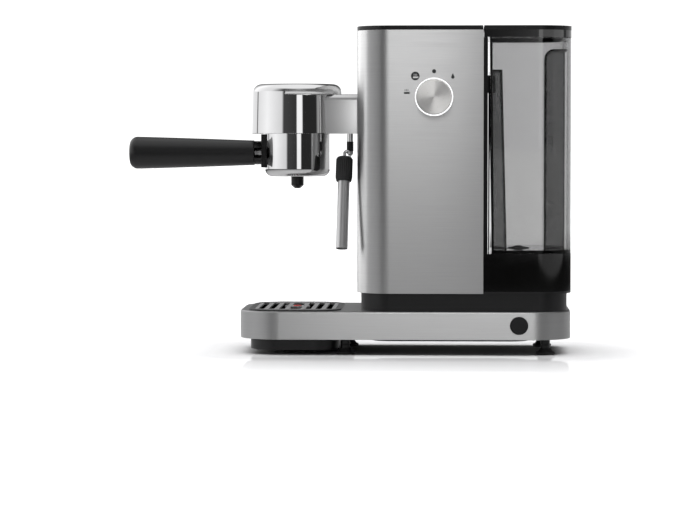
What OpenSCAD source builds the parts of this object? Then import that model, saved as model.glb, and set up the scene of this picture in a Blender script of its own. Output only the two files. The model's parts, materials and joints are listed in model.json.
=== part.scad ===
// Home espresso machine: a slim body on a long base, a group on an arm, a side water tank,
// a steam wand and a lift-out drip tray. Millimetres.
// +Z is up, +X runs towards the water tank and -Y towards the control panel.
// The origin is under the middle of the whole machine, on the surface that it stands on.

/* [Overall] */
// Depth of the base and of the body
depth = 150; // [148:0.5:154]
// Distance from the group's axis to the end of the handle
handle_reach = 172.8; // [168:0.1:180]
// How far the knob stands out of the panel
knob_out = 12; // [11:0.5:14]
// Height of the base's underside above the table
foot_h = 15.8; // [15:0.1:18]

/* [Base] */
// Length of the base
base_l = 335; // [332:1:342]
// Height of the base band
base_h = 28.4; // [28:0.1:30]
// Corner radius of the base
base_r = 42; // [40:0.5:43]
// Distance from the base's left end to the group's axis
group_in = 55.9; // [55:0.1:58]
// Height of the plinth between base and body
plinth_h = 18.1; // [17:0.1:20]
// How far the plinth is set in
plinth_inset = 4; // [3:0.5:5]

/* [Body] */
// Length of the body, tank included
body_l = 216; // [214:0.5:218]
// Corner radius of the body
body_r = 34; // [33:0.5:35]
// Height of the steel shell
shell_h = 263.9; // [262:0.1:268]
// Thickness of the top cover
cover_t = 4.3; // [4:0.1:5]
// Sheet thickness of the steel parts
steel_t = 1.2; // [1:0.1:1.4]

/* [Tank] */
// Length of the tank
tank_l = 88.6; // [87:0.1:90]
// Wall thickness of the tank
tank_wall = 2.2; // [2:0.1:2.4]
// Height of the dock that carries the tank
dock_h = 40.1; // [39:0.1:41]
// Depth of the hand recess in the tank's end
grip_d = 24.6; // [22:0.1:26]

/* [Group] */
// Bottom radius of the group cap
cap_r = 46.7; // [46:0.1:48]
// Height of the group cap
cap_h = 50.8; // [50:0.1:52]
// Height of the group cap's lower edge above the table
cap_z = 222.5; // [222:0.1:223]
// Width of the arm
arm_w = 70; // [68:0.5:71]
// Height of the arm
arm_h = 40; // [39:0.5:41]
// Outer radius of the portafilter bowl
bowl_r = 33.5; // [33.3:0.1:33.6]
// Height of the bowl's underside above the table
bowl_z = 178.8; // [178:0.1:180]
// Height of the handle's axis above the table
handle_z = 202.9; // [202:0.1:204]

/* [Steam wand] */
// Radius of the steel sleeve
sleeve_r = 6; // [5.8:0.1:6.2]
// Radius of the rubber grip
grip_r = 8.6; // [8.4:0.1:9]
// Lean of the wand towards the front, in degrees
wand_lean = 14; // [12:0.5:15]
// Lean of the wand towards the group, in degrees
wand_side = 1.2; // [0:0.1:2]

/* [Controls] */
// Radius of the knob
knob_r = 17.8; // [17:0.1:18]
// Radius of the light ring
ring_r = 19; // [18.6:0.1:20]
// Radius of the power button
button_r = 8.75; // [8.5:0.05:9]

/* [Hidden] */
$fn = 96;

// The frame: the machine's whole box is centred on x = 0 and y = 0.
total_l = handle_reach - group_in + base_l;
x_right = total_l / 2;
group_x = handle_reach - x_right;
base_x = group_x - group_in;
body_x = x_right - body_l;
seam_x = x_right - tank_l;
yc = knob_out / 2;
y_front = yc - depth / 2;
y_rear = yc + depth / 2;

// Heights
z_deck = foot_h + base_h;
z_body = z_deck + plinth_h;
z_shell = z_body + shell_h;
z_top = z_shell + cover_t;
floor_t = 2;
z_floor = z_body + floor_t;
dock_top = z_body + dock_h;
rim_h = 7.4;
tank_top = z_shell - rim_h;

// Feet
stem_r = 4.65;
pad_r = 9.5;
pad_h = 6.5;
stem_z = 4;
feet_x = [group_x + 51.4, x_right - 25.9];
feet_y = [yc - 54, yc + 54];

// Bottom plate
pad_x0 = body_x + 7;
pad_x1 = x_right - 35;
pad_drop = 1.8;
plate_t = 2;
plate_screws = [for (x = [pad_x0 + 14, pad_x1 - 40], y = [yc - 50, yc + 50]) [x, y]];

// Drip tray: a tub through the deck, its frame and its grille
tub = [90, 138];
tub_r = 28;
tub_wall = 2;
tub_z = 5;
rim = [94, 144];
rim_r = 30;
rim_t = 0.5;
frame_top = z_deck + 1.1;
grille = [82, 112];
grille_r = 18;
grille_t = 1.8;
bar_pitch = 10.5;
slot_w = 6;
slot_l = 100;
rosette_r = 13;
float_r = 4.3;
float_hole_r = 4.6;

// Group and portafilter
cap_t = 1.6;
cap_fillet = 9;
cap_draft = 1;
head_r = 43.5;
head_in = bowl_r + 0.8;
lug_r = bowl_r + 4.1;
lug_z = cap_z + 3.4;
lug_h = 3;
lug_w = 18;
bowl_top = cap_z + 8.7;
basket_r = 28.6;
unlock = 50;
pipe_boss_x = group_x + 10;
neck_out = 43.8;
neck_x0 = group_x - neck_out;
neck_x1 = group_x - 36;
stud_r = 6;
tab_w = 19;
tail_r = 4.9;
handle_r0 = 12.65;
handle_r1 = 16.5;
handle_fillet = 8;

// Arm and wand
arm_z1 = cap_z + arm_h;
arm_round = 6;
arm_t = 2;
wand_x = group_x + 55;
wand_y = yc - 20;
wand_tube_r = 2.9;
ball_r = 3.2;
ball_z = cap_z - 19.3;
wand_pipe_r = 1.6;
wand_bore_r = 0.9;
steam_bore_r = 1.4;
bend_r = 2.6;
bend_z = -3.2;
wand_fwd = 8;
sleeve_end = -101.8;
grip_z1 = -6.3;
grip_z0 = -32.1;

// Controls
knob_x = seam_x - 49.5;
knob_z = z_shell - 67;
button_x = x_right - 52.75;
button_z = foot_h + 14.5;
button_travel = 2;
icon_t = 0.2;
icon_ring = 28;

// Tank
tank_gap = 0.2;
tank_floor = 3;
draft_top = 6;
draft_bottom = 8;
flange_w = 4.2;
lip_h = 1;
collar_top = dock_top + tank_floor + 0.8;
guide_top = z_shell - 40.7;
guide_in_top = 17.3;
guide_in_bottom = 22.3;
guide_w = 28;
recess_top = z_shell - 20.2;
recess_w = 48;
recess_r = 8;
valve_x = x_right - 52;
valve_seat_z = dock_top - 2.4;
hinge_y = y_rear - 6;
ear_gap = 3.4;
hinge_z = z_top - cover_t / 2;
hinge_x0 = seam_x + 4;
hinge_x1 = x_right - 21;

// Inner parts
block_x0 = body_x + 42;
block_x1 = body_x + 112;
block_z = 222;
pump_y = yc + 30;
pump_z = 105;
hose_z = z_floor + 6.7;
hose_hole_r = 3.4;
vent_w = 3;
vent_pitch = 6;

// ---------- helpers ----------

module block(x0, x1, y0, y1, z0, z1)
    translate([x0, y0, z0]) cube([x1 - x0, y1 - y0, z1 - z0]);

module zcyl(r, z0, z1, x, y) translate([x, y, z0]) cylinder(r = r, h = z1 - z0);

module xcyl(r, x0, x1, y, z) translate([x0, y, z]) rotate([0, 90, 0]) cylinder(r = r, h = x1 - x0);

module ycyl(r, y0, y1, x, z) translate([x, y1, z]) rotate([90, 0, 0]) cylinder(r = r, h = y1 - y0);

// Rounded rectangle about a centre
module rounded(size, r, cx = group_x)
    translate([cx, yc]) {
        square([size[0] - 2 * r, size[1]], center = true);
        square([size[0], size[1] - 2 * r], center = true);
        for (sx = [-1, 1], sy = [-1, 1])
            translate([sx * (size[0] / 2 - r), sy * (size[1] / 2 - r)]) circle(r);
    }

// Rounded plate between two X places over the machine's depth, set in all round
module slab(x0, x1, z0, z1, r, inset = 0)
    translate([0, 0, z0]) linear_extrude(z1 - z0)
        rounded([x1 - x0 - 2 * inset, depth - 2 * inset], r, (x0 + x1) / 2);

module tray_slab(size, r, z0, z1) translate([0, 0, z0]) linear_extrude(z1 - z0) rounded(size, r);

// A plan outline that lies right of a given X
module right_of(x, z0, z1) block(x, x_right + 1, y_front - 1, y_rear + 1, z0 - 1, z1 + 1);

module left_of(x, z0, z1) block(body_x - 1, x, y_front - 1, y_rear + 1, z0 - 1, z1 + 1);

// 2D drawn in Y and Z, extruded along X
module along_x(x0, x1) translate([x0, 0, 0]) rotate([90, 0, 90]) linear_extrude(x1 - x0) children();

// 2D drawn in X and Z, extruded along Y
module along_y(y0, y1) translate([0, y1, 0]) rotate([90, 0, 0]) linear_extrude(y1 - y0) children();

module ring(r_in, r_out, z0, z1, x, y)
    difference() {
        zcyl(r_out, z0, z1, x, y);
        zcyl(r_in, z0 - 1, z1 + 1, x, y);
    }

// Pipe through a list of points, with a slightly fatter elbow at each turn
module pipe(points, r)
    for (i = [0 : len(points) - 2]) {
        a = points[i];
        b = points[i + 1];
        d = b - a;
        len_d = norm(d);
        translate(a) rotate([0, acos(d[2] / len_d), atan2(d[1], d[0])])
            cylinder(r = r, h = len_d);
        if (i > 0) translate(a) sphere(r * 1.08);
    }

// ---------- base ----------

module base_pan()
    color("silver")
        difference() {
            slab(base_x, x_right, foot_h, z_deck, base_r);
            slab(base_x, x_right, foot_h - 1, z_deck - steel_t, base_r - steel_t, steel_t);
            tray_slab(tub + [1, 1], tub_r + 0.5, foot_h, z_deck + 1);
            block(body_x + 40, body_x + 150, yc - 40, yc + 40, foot_h, z_deck + 1);
            ycyl(button_r + 0.3, y_front - 1, y_front + 5, button_x, button_z);
            ycyl(6.2, y_rear - 5, y_rear + 1, button_x, button_z);
        }

module bottom_plate()
    color("dimgray")
        difference() {
            union() {
                slab(base_x, x_right, foot_h, foot_h + plate_t, base_r - steel_t - 0.3, steel_t + 0.3);
                slab(pad_x0, pad_x1, foot_h - pad_drop, foot_h, 20, 8);
            }
            tray_slab(tub + [2, 2], tub_r + 1, foot_h - 3, foot_h + 5);
            for (p = plate_screws) {
                zcyl(3.3, foot_h - pad_drop - 1, foot_h - 0.4, p[0], p[1]);
                zcyl(1.6, foot_h - pad_drop, foot_h + 5, p[0], p[1]);
            }
        }

module feet_stems()
    color("black")
        for (x = feet_x, y = feet_y) zcyl(stem_r, stem_z, foot_h, x, y);

module feet_pads()
    color("black")
        for (x = feet_x, y = feet_y)
            difference() {
                union() {
                    zcyl(pad_r, 0, 3, x, y);
                    translate([x, y, 3]) cylinder(r1 = 7.6, r2 = 5.4, h = pad_h - 3);
                }
                zcyl(stem_r, stem_z, pad_h + 1, x, y);
            }

module plinth()
    color("black")
        difference() {
            slab(body_x, x_right, z_deck, z_body, body_r - plinth_inset, plinth_inset);
            slab(body_x, x_right, z_deck - 1, z_body + 1, body_r - plinth_inset - 3, plinth_inset + 3);
        }

// ---------- body ----------

module body_shell()
    color("silver")
        difference() {
            slab(body_x, x_right, z_body, z_shell, body_r);
            slab(body_x, x_right, z_body - 1, z_shell + 1, body_r - steel_t, steel_t);
            right_of(seam_x, z_body, z_shell);
            arm_solid(0, body_x - 5, body_x + 10);
            ycyl(5, y_front - 1, y_front + 5, knob_x, knob_z);
            for (i = [0 : 9])
                translate([body_x + 50 + vent_pitch * i, y_rear - 5, z_shell - 60])
                    cube([vent_w, 6, 35]);
        }

module body_floor()
    color("black")
        difference() {
            union() {
                slab(body_x, x_right, z_body, z_floor, body_r - steel_t - 0.2, steel_t + 0.2);
                intersection() {
                    slab(body_x, x_right, z_body, z_floor, body_r);
                    right_of(seam_x + 0.1, z_body, z_floor);
                }
            }
            block(body_x + 50, body_x + 105, yc - 20, yc + 12, z_body - 1, z_floor + 1);
        }

module bulkhead()
    color("black")
        difference() {
            union() {
                block(seam_x - 2.2, seam_x - 0.2, y_front + steel_t + 0.3, y_rear - steel_t - 0.3,
                    z_floor, z_shell);
                block(seam_x - 0.3, seam_x + flange_w, y_front + steel_t + 0.3, y_rear - steel_t - 0.3,
                    dock_top + 0.3, tank_top - 0.5);
                block(seam_x + 0.1, seam_x + flange_w, y_front + 0.2, y_rear - 0.2,
                    dock_top + 0.3, tank_top - 0.5);
                block(seam_x - 0.3, seam_x + 12.6, yc - 10, yc + 10, z_shell - 62.2, z_shell - 44.2);
                block(seam_x + 5.4, seam_x + 6.8, yc - 6, yc + 6, dock_top + 0.3, z_shell - 60);
            }
            xcyl(hose_hole_r, seam_x - 5, seam_x + 2, yc, hose_z);
        }

module top_cover()
    color("black") {
        intersection() {
            slab(body_x, x_right, z_shell, z_top, body_r);
            left_of(seam_x - 0.5, z_shell, z_top);
        }
        intersection() {
            difference() {
                slab(body_x, x_right, z_shell - 6, z_shell, body_r - steel_t - 0.4, steel_t + 0.4);
                slab(body_x, x_right, z_shell - 7, z_shell + 1, body_r - steel_t - 2.4, steel_t + 2.4);
            }
            left_of(seam_x - 3, z_shell - 6, z_shell);
        }
    }

// ---------- arm and group ----------

// The arm's section: flat below, rounded along its two top edges
module arm_section(inset) {
    w = arm_w - 2 * inset;
    r = arm_round - inset;
    z0 = cap_z + inset;
    z1 = arm_z1 - inset;
    translate([yc - w / 2, z0]) square([w, z1 - r - z0]);
    translate([yc - w / 2 + r, z0]) square([w - 2 * r, z1 - z0]);
    for (s = [-1, 1]) translate([yc + s * (w / 2 - r), z1 - r]) circle(r);
}

module arm_solid(inset, x0, x1) along_x(x0, x1) arm_section(inset);

module arm_housing()
    color("silver")
        difference() {
            arm_solid(0, group_x + 25, body_x + steel_t + 4);
            arm_solid(arm_t, group_x + 20, body_x + 20);
            zcyl(head_r + 1.1, cap_z - 5, cap_z + cap_h, group_x, yc);
            zcyl(wand_tube_r + 0.3, cap_z - 1, cap_z + 5, wand_x, wand_y);
        }

// Half section of the cap: a slightly conical bell with a rounded shoulder
module cap_section(inset) {
    z1 = cap_z + cap_h - inset;
    zf = cap_z + cap_h - cap_fillet;
    r0 = cap_r - inset;
    r1 = cap_r - cap_draft - inset;
    rf = cap_r - cap_draft - cap_fillet;
    polygon([[0, cap_z - inset], [r0, cap_z - inset], [r1, zf], [rf, zf], [rf, z1], [0, z1]]);
    translate([rf, zf]) circle(cap_fillet - inset);
}

module group_cap()
    color("gainsboro")
        difference() {
            translate([group_x, yc, 0]) rotate_extrude() cap_section(0);
            translate([group_x, yc, 0]) rotate_extrude() cap_section(cap_t);
            arm_solid(0, group_x + 20, group_x + cap_r + 5);
        }

module group_head()
    color("darkgray")
        translate([group_x, yc, 0])
            difference() {
                union() {
                    zcyl(head_r, cap_z + 17.5, cap_z + 29.5, 0, 0);
                    ring(head_in, head_r, cap_z + 0.7, cap_z + 17.5, 0, 0);
                    zcyl(26.3, cap_z + 7.5, cap_z + 17.5, 0, 0);
                    zcyl(7, cap_z + 29.5, cap_z + 32.5, pipe_boss_x - group_x, 0);
                }
                ring(head_in - 1, lug_r + 0.6, lug_z - 0.3, lug_z + lug_h + 0.3, 0, 0);
                rotate(-unlock)
                    intersection() {
                        zcyl(lug_r + 0.4, cap_z, lug_z + 1, 0, 0);
                        block(-lug_w / 2 - 2, lug_w / 2 + 2, -cap_r, cap_r, cap_z, lug_z + 1);
                    }
                zcyl(2.1, cap_z + 7, cap_z + 33, pipe_boss_x - group_x, 0);
                zcyl(2, cap_z + 7, cap_z + 16, 0, 0);
            }

module group_gasket()
    color("firebrick")
        ring(28.3, head_in - 0.2, bowl_top + 0.95, cap_z + 17.5, group_x, yc);

module shower_screen()
    color("silver")
        translate([group_x, yc, 0])
            difference() {
                zcyl(26, cap_z + 6.5, cap_z + 7.5, 0, 0);
                zcyl(2.05, cap_z + 6, cap_z + 8, 0, 0);
                for (k = [1 : 4], i = [0 : 6 * k - 1])
                    rotate(i * 60 / k) zcyl(0.8, cap_z + 6, cap_z + 8, 3.5 + 5 * k, 0);
            }

module screws()
    color("gray") {
        zcyl(5, cap_z + 4.3, cap_z + 6.5, group_x, yc);
        zcyl(2, cap_z + 6.5, cap_z + 15, group_x, yc);
        for (p = plate_screws) {
            zcyl(3.2, foot_h - pad_drop, foot_h - 0.5, p[0], p[1]);
            zcyl(1.5, foot_h - 0.5, foot_h + 8, p[0], p[1]);
        }
    }

// ---------- inside the body ----------

module thermoblock()
    color("darkgray") {
        block(block_x0, block_x1, yc - 25, yc + 25, block_z, block_z + 34);
        for (i = [0 : 6])
            translate([block_x0 + 3 + 10 * i, yc - 25, block_z + 34]) cube([4, 50, 5]);
        xcyl(5, block_x0 - 6, block_x0, yc + 10, block_z + 24);
        xcyl(5, block_x0 - 8, block_x0, yc - 14, block_z + 14);
        zcyl(5, block_z - 6, block_z, block_x1 - 10, yc);
        for (s = [-1, 1]) xcyl(4, block_x1, block_x1 + 9, yc + 15 * s, block_z + 17);
    }

module thermostats()
    color("ivory")
        for (x = [block_x0 + 20, block_x0 + 48]) {
            ycyl(8, yc - 32, yc - 25, x, block_z + 17);
            for (s = [-1, 1]) translate([x - 3, yc - 40, block_z + 16.6 + 4 * s]) cube([6, 8, 0.8]);
        }

module pump()
    color("orange") {
        block(body_x + 45, body_x + 85, pump_y - 20, pump_y + 20, pump_z - 20, pump_z + 20);
        xcyl(11, body_x + 28, body_x + 102, pump_y, pump_z);
        xcyl(4, body_x + 20, body_x + 110, pump_y, pump_z);
    }

module pump_mounts()
    color("black")
        for (x = [body_x + 31, body_x + 95])
            difference() {
                block(x, x + 4, pump_y - 16, pump_y + 16, z_floor, pump_z + 16);
                xcyl(11, x - 1, x + 5, pump_y, pump_z);
            }

module steam_valve()
    color("darkslategray") {
        block(body_x + 8, block_x0 - 8, yc - 34, yc - 8, block_z + 8, block_z + 34);
        zcyl(10, block_z + 34, block_z + 56, body_x + 21, yc - 21);
    }

module control_board()
    color("seagreen") {
        x = seam_x - 7;
        z0 = 120;
        z1 = 200;
        block(x, x + 1.6, yc - 60, yc + 10, z0, z1);
        for (y = [yc - 56, yc + 6], z = [z0 + 4, z1 - 4]) xcyl(2.5, x + 1.6, seam_x - 2.2, y, z);
        for (i = [0, 1]) block(x - 15, x, yc - 55 + 26 * i, yc - 36 + 26 * i, 168, 190);
        xcyl(8, x - 22, x, yc - 40, 145);
        block(x - 12, x, yc - 22, yc + 2, 126, 150);
    }

module selector_switch()
    color("darkslategray")
        difference() {
            block(knob_x - 14, knob_x + 14, y_front + steel_t, y_front + 20, knob_z - 14, knob_z + 14);
            ycyl(3.06, y_front, y_front + 17.5, knob_x, knob_z);
        }

module power_switch()
    color("dimgray")
        difference() {
            block(button_x - 11, button_x + 11, y_front + 12, y_front + 31, foot_h + plate_t, foot_h + 24);
            ycyl(2.6, y_front + 11, y_front + 21 + button_travel, button_x, button_z);
        }

module mains_gland()
    color("black")
        difference() {
            union() {
                ycyl(6.2, y_rear - 14, y_rear, button_x, button_z);
                ycyl(8.5, y_rear - 4.2, y_rear - steel_t, button_x, button_z);
            }
            ycyl(3.6, y_rear - 15, y_rear + 1, button_x, button_z);
        }

module inlet_hose()
    color("white")
        pipe([[valve_x - 6, yc, dock_top - 26], [valve_x - 6, yc, hose_z],
            [body_x + 14, yc, hose_z], [body_x + 14, pump_y, hose_z],
            [body_x + 14, pump_y, pump_z], [body_x + 20, pump_y, pump_z]], 3);

module pressure_hose()
    color("white")
        pipe([[body_x + 110, pump_y, pump_z], [body_x + 116, pump_y, pump_z],
            [body_x + 116, pump_y, block_z - 14], [block_x1 - 10, yc, block_z - 14],
            [block_x1 - 10, yc, block_z - 6]], 2.6);

module group_pipe()
    color("peru")
        pipe([[block_x0 - 6, yc + 10, block_z + 24], [body_x + 4, yc + 10, block_z + 24],
            [body_x - 6, yc + 6, cap_z + 34], [pipe_boss_x, yc, cap_z + 37],
            [pipe_boss_x, yc, cap_z + 32.5]], 2.5);

module steam_pipe()
    color("peru") {
        pipe([[body_x + 8, wand_y, block_z + 24], [wand_x, wand_y, block_z + 24],
            [wand_x, wand_y, cap_z + 18]], 2.2);
        zcyl(5, cap_z + 14, cap_z + 18, wand_x, wand_y);
    }

// ---------- controls ----------

module light_ring()
    color("white")
        difference() {
            ycyl(ring_r, y_front - 1, y_front, knob_x, knob_z);
            ycyl(13, y_front - 2, y_front + 1, knob_x, knob_z);
        }

module knob_core()
    color("dimgray") {
        ycyl(knob_r - 0.85, y_front - knob_out + 0.9, y_front - 1.4, knob_x, knob_z);
        ycyl(3, y_front - 1.4, y_front + 16, knob_x, knob_z);
    }

module knob_cap()
    color("gainsboro")
        translate([knob_x, y_front - knob_out, knob_z])
            rotate([-90, 0, 0])
                rotate_extrude()
                    polygon([[0, 0], [knob_r - 0.6, 0], [knob_r, 0.6], [knob_r, knob_out - 1.4],
                        [knob_r - 0.8, knob_out - 1.4], [knob_r - 0.8, 0.9], [0, 0.9]]);

// A sign on the panel at an angle from the top of the knob
module sign_at(angle, r)
    translate([knob_x + r * sin(angle), y_front, knob_z + r * cos(angle)])
        rotate([90, 0, 0]) linear_extrude(icon_t) children();

// A cup seen from the side with three wisps above it
module cup_sign(w) {
    translate([-w / 2, -w * 0.45]) square([w, w * 0.34]);
    translate([w * 0.5, -w * 0.25])
        difference() {
            circle(w * 0.2);
            circle(w * 0.1);
        }
    for (i = [-1 : 1]) translate([i * w * 0.28 - w * 0.05, w * 0.05]) square([w * 0.1, w * 0.42]);
}

module panel_icons()
    color("black") {
        sign_at(0, 25.5) circle(2);
        sign_at(42, icon_ring) {
            translate([0, -1.1]) circle(1.65);
            polygon([[-1.45, -0.3], [1.45, -0.3], [0, 2.9]]);
        }
        sign_at(-42, icon_ring)
            difference() {
                circle(4.3);
                cup_sign(4.6);
            }
        sign_at(-79, icon_ring) cup_sign(5.2);
    }

module power_button()
    color("black") {
        ycyl(button_r, y_front - 0.6, y_front + 9, button_x, button_z);
        ycyl(2.5, y_front + 9, y_front + 20, button_x, button_z);
    }

// ---------- drip tray ----------

module drip_tray()
    color("black")
        difference() {
            union() {
                tray_slab(tub, tub_r, tub_z, z_deck);
                tray_slab(rim, rim_r, z_deck, z_deck + rim_t);
            }
            tray_slab(tub - [4, 4], tub_r - tub_wall, tub_z + tub_wall, z_deck + 2);
        }

module grille_frame()
    color("black")
        difference() {
            union() {
                tray_slab(tub - [4.8, 4.8], tub_r - 2.4, z_deck - 1.5, z_deck + rim_t);
                tray_slab(rim, rim_r, z_deck + rim_t, frame_top);
            }
            tray_slab(grille + [0.4, 0.4], grille_r, frame_top - grille_t, frame_top + 1);
            tray_slab(grille - [5, 5], grille_r - 2, z_deck - 3, frame_top);
        }

module grille_slot(x, w) {
    l = slot_l - w;
    translate([x - w / 2, yc - l / 2]) square([w, l]);
    for (s = [-1, 1]) translate([x, yc + s * l / 2]) circle(w / 2);
}

module drip_grille()
    color("silver")
        translate([0, 0, frame_top - grille_t]) linear_extrude(grille_t)
            difference() {
                union() {
                    difference() {
                        rounded(grille, grille_r - 0.2);
                        grille_slot(group_x, 11.5);
                        for (s = [-1, 1], i = [1 : 3])
                            grille_slot(group_x + s * (2.75 + bar_pitch * i), slot_w);
                    }
                    translate([group_x, yc]) circle(rosette_r);
                }
                translate([group_x, yc]) {
                    circle(float_hole_r);
                    for (i = [0 : 11])
                        rotate(15 + 30 * i) translate([6.6, -0.8]) square([4.6, 1.6]);
                }
            }

module tray_float()
    color("red")
        translate([group_x, yc, 0]) {
            zcyl(10, tub_z + tub_wall + 1, 22, 0, 0);
            zcyl(float_r, 22, frame_top + 0.7, 0, 0);
            zcyl(2, tub_z + tub_wall, tub_z + tub_wall + 1, 0, 0);
        }

// ---------- portafilter ----------

// Half section of the bowl: a cup with a rounded bottom edge
module bowl_section(inset) {
    rf = bowl_r - 8;
    z0 = bowl_z + inset;
    top = bowl_top + inset;
    translate([0, bowl_z + 8]) square([bowl_r - inset, top - bowl_z - 8]);
    translate([0, z0]) square([rf, top - z0]);
    translate([rf, bowl_z + 8]) circle(8 - inset);
}

module portafilter_bowl()
    color("gainsboro")
        translate([group_x, yc, 0])
            difference() {
                union() {
                    rotate_extrude() bowl_section(0);
                    intersection() {
                        zcyl(lug_r, lug_z, lug_z + lug_h, 0, 0);
                        block(-lug_w / 2, lug_w / 2, -cap_r, cap_r, lug_z, lug_z + lug_h);
                    }
                }
                rotate_extrude() bowl_section(2);
                zcyl(4.05, bowl_z - 1, bowl_z + 5, 0, 0);
                xcyl(tail_r + 0.05, -cap_r, 0, 0, handle_z);
            }

module filter_basket()
    color("silver")
        translate([group_x, yc, 0])
            difference() {
                union() {
                    zcyl(basket_r, bowl_top - 25, bowl_top, 0, 0);
                    zcyl(bowl_r - 0.3, bowl_top, bowl_top + 0.8, 0, 0);
                }
                zcyl(basket_r - 0.6, bowl_top - 24.4, bowl_top + 2, 0, 0);
                for (k = [1 : 4], i = [0 : 6 * k - 1])
                    rotate(i * 60 / k) zcyl(0.7, bowl_top - 26, bowl_top - 24, 6 * k, 0);
            }

module basket_ring()
    color("gray")
        translate([group_x, yc, bowl_top - 14])
            rotate_extrude() translate([basket_r + 1.3, 0]) circle(0.7);

module spout()
    color("black")
        translate([group_x, yc, 0])
            difference() {
                union() {
                    zcyl(4, bowl_z, bowl_z + 4, 0, 0);
                    zcyl(6.45, bowl_z - 9.3, bowl_z, 0, 0);
                    translate([0, 0, bowl_z - 12.3]) cylinder(r1 = 2.8, r2 = 6.45, h = 3);
                }
                zcyl(2, bowl_z - 13, bowl_z + 5, 0, 0);
            }

module handle_collar()
    color("black")
        difference() {
            union() {
                intersection() {
                    ring(bowl_r + 0.05, bowl_r + 4, handle_z - 15, cap_z - 0.5, group_x, yc);
                    block(group_x - cap_r, group_x, yc - tab_w / 2, yc + tab_w / 2, bowl_z, cap_z);
                }
                xcyl(12, neck_x0, neck_x1, yc, handle_z);
            }
            xcyl(stud_r, neck_x0 - 1, group_x, yc, handle_z);
            block(neck_x0 - 1, neck_x1 - 0.4, yc - 15, yc + 15, handle_z - 5.2, handle_z + 5.2);
        }

module handle_stud()
    color("gainsboro") {
        xcyl(stud_r - 0.05, neck_x0, group_x - bowl_r - 0.1, yc, handle_z);
        xcyl(tail_r, neck_x0 - 52, group_x - bowl_r + 2, yc, handle_z);
    }

// The handle is turned about its own axis, so its profile is drawn along Z
module handle() {
    l = handle_reach - neck_out;
    l_straight = l - handle_fillet;
    r_end = handle_r1 - handle_fillet;
    color("black")
        translate([neck_x0, yc, handle_z]) rotate([0, -90, 0])
            difference() {
                rotate_extrude() {
                    polygon([[0, 0], [handle_r0, 0], [handle_r1, l_straight], [r_end, l_straight],
                        [r_end, l], [0, l]]);
                    translate([r_end, l_straight]) circle(handle_fillet);
                }
                translate([0, 0, -1]) cylinder(r = tail_r + 0.05, h = 54);
            }
}

// ---------- steam wand ----------

// The wand hangs from its ball, and leans forwards and a little to the left
module on_wand() translate([wand_x, wand_y, ball_z]) rotate([-wand_lean, wand_side, 0]) children();

module wand_tube()
    color("gainsboro")
        difference() {
            zcyl(wand_tube_r, ball_z + 11.3, cap_z + 13.6, wand_x, wand_y);
            zcyl(steam_bore_r, ball_z + 10, cap_z + 15, wand_x, wand_y);
        }

module wand_collar()
    color("black")
        difference() {
            zcyl(3.4, ball_z + 1.6, ball_z + 11.3, wand_x, wand_y);
            translate([wand_x, wand_y, ball_z]) sphere(ball_r + 0.07);
            zcyl(steam_bore_r, ball_z, ball_z + 12, wand_x, wand_y);
        }

module wand_pipe()
    color("gainsboro")
        on_wand() {
            sphere(ball_r);
            ycyl(wand_pipe_r, -wand_fwd, 0, 0, bend_z);
            translate([0, -wand_fwd, bend_z]) sphere(wand_pipe_r * 1.04);
            translate([-bend_r, -wand_fwd, bend_z]) rotate([90, 0, 0])
                rotate_extrude(angle = 180) translate([bend_r, 0]) circle(wand_pipe_r);
            difference() {
                zcyl(wand_pipe_r, sleeve_end + 6, bend_z, -2 * bend_r, -wand_fwd);
                zcyl(wand_bore_r, sleeve_end + 5, bend_z - 10, -2 * bend_r, -wand_fwd);
            }
        }

module wand_grip()
    color("black")
        on_wand() translate([-2 * bend_r, -wand_fwd, 0])
            difference() {
                rotate_extrude() {
                    translate([0, grip_z0]) square([grip_r - 4, grip_z1 - grip_z0]);
                    translate([0, grip_z0 + 3]) square([grip_r, grip_z1 - grip_z0 - 7]);
                    translate([0, grip_z0]) polygon([[0, 0], [grip_r - 1.6, 0], [grip_r, 3], [0, 3]]);
                    translate([grip_r - 4, grip_z1 - 4]) circle(4);
                }
                zcyl(wand_pipe_r + 0.03, grip_z0 - 1, grip_z1 + 1, 0, 0);
                zcyl(sleeve_r + 0.08, grip_z0 - 1, grip_z0 + 9, 0, 0);
            }

module wand_sleeve()
    color("silver")
        on_wand() ring(sleeve_r - 0.6, sleeve_r, sleeve_end, grip_z0 + 8.7, -2 * bend_r, -wand_fwd);

module wand_tip()
    color("dimgray")
        on_wand() ring(steam_bore_r, 4.6, sleeve_end + 2, sleeve_end + 6, -2 * bend_r, -wand_fwd);

// ---------- tank ----------

module tank_dock()
    color("black")
        difference() {
            union() {
                difference() {
                    intersection() {
                        slab(body_x, x_right, z_floor, dock_top, body_r);
                        right_of(seam_x + 0.1, z_floor, dock_top);
                    }
                    intersection() {
                        slab(body_x, x_right, z_floor - 1, dock_top - 2.5, body_r - 2.5, 2.5);
                        right_of(seam_x + 2.6, z_floor, dock_top);
                    }
                }
                zcyl(14, dock_top - 16, dock_top - 1, valve_x, yc);
                zcyl(4, dock_top - 26, dock_top - 15, valve_x - 6, yc);
            }
            difference() {
                zcyl(11, dock_top - 13, dock_top + 1, valve_x, yc);
                zcyl(1.6, dock_top - 14, dock_top - 8.9, valve_x, yc);
            }
            zcyl(2, dock_top - 27, dock_top - 12, valve_x - 6, yc);
            xcyl(hose_hole_r, seam_x - 1, seam_x + 4, yc, hose_z);
        }

module dock_seal()
    color("firebrick")
        ring(8.98, 11, dock_top - 8, dock_top - 4, valve_x, yc);

// The tank's drafted side view, set in by a wall
module tank_side(wall, z0, z1)
    polygon([[seam_x + draft_top + wall, z1], [x_right, z1], [x_right, z0],
        [seam_x + draft_bottom + wall, z0]]);

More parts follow.
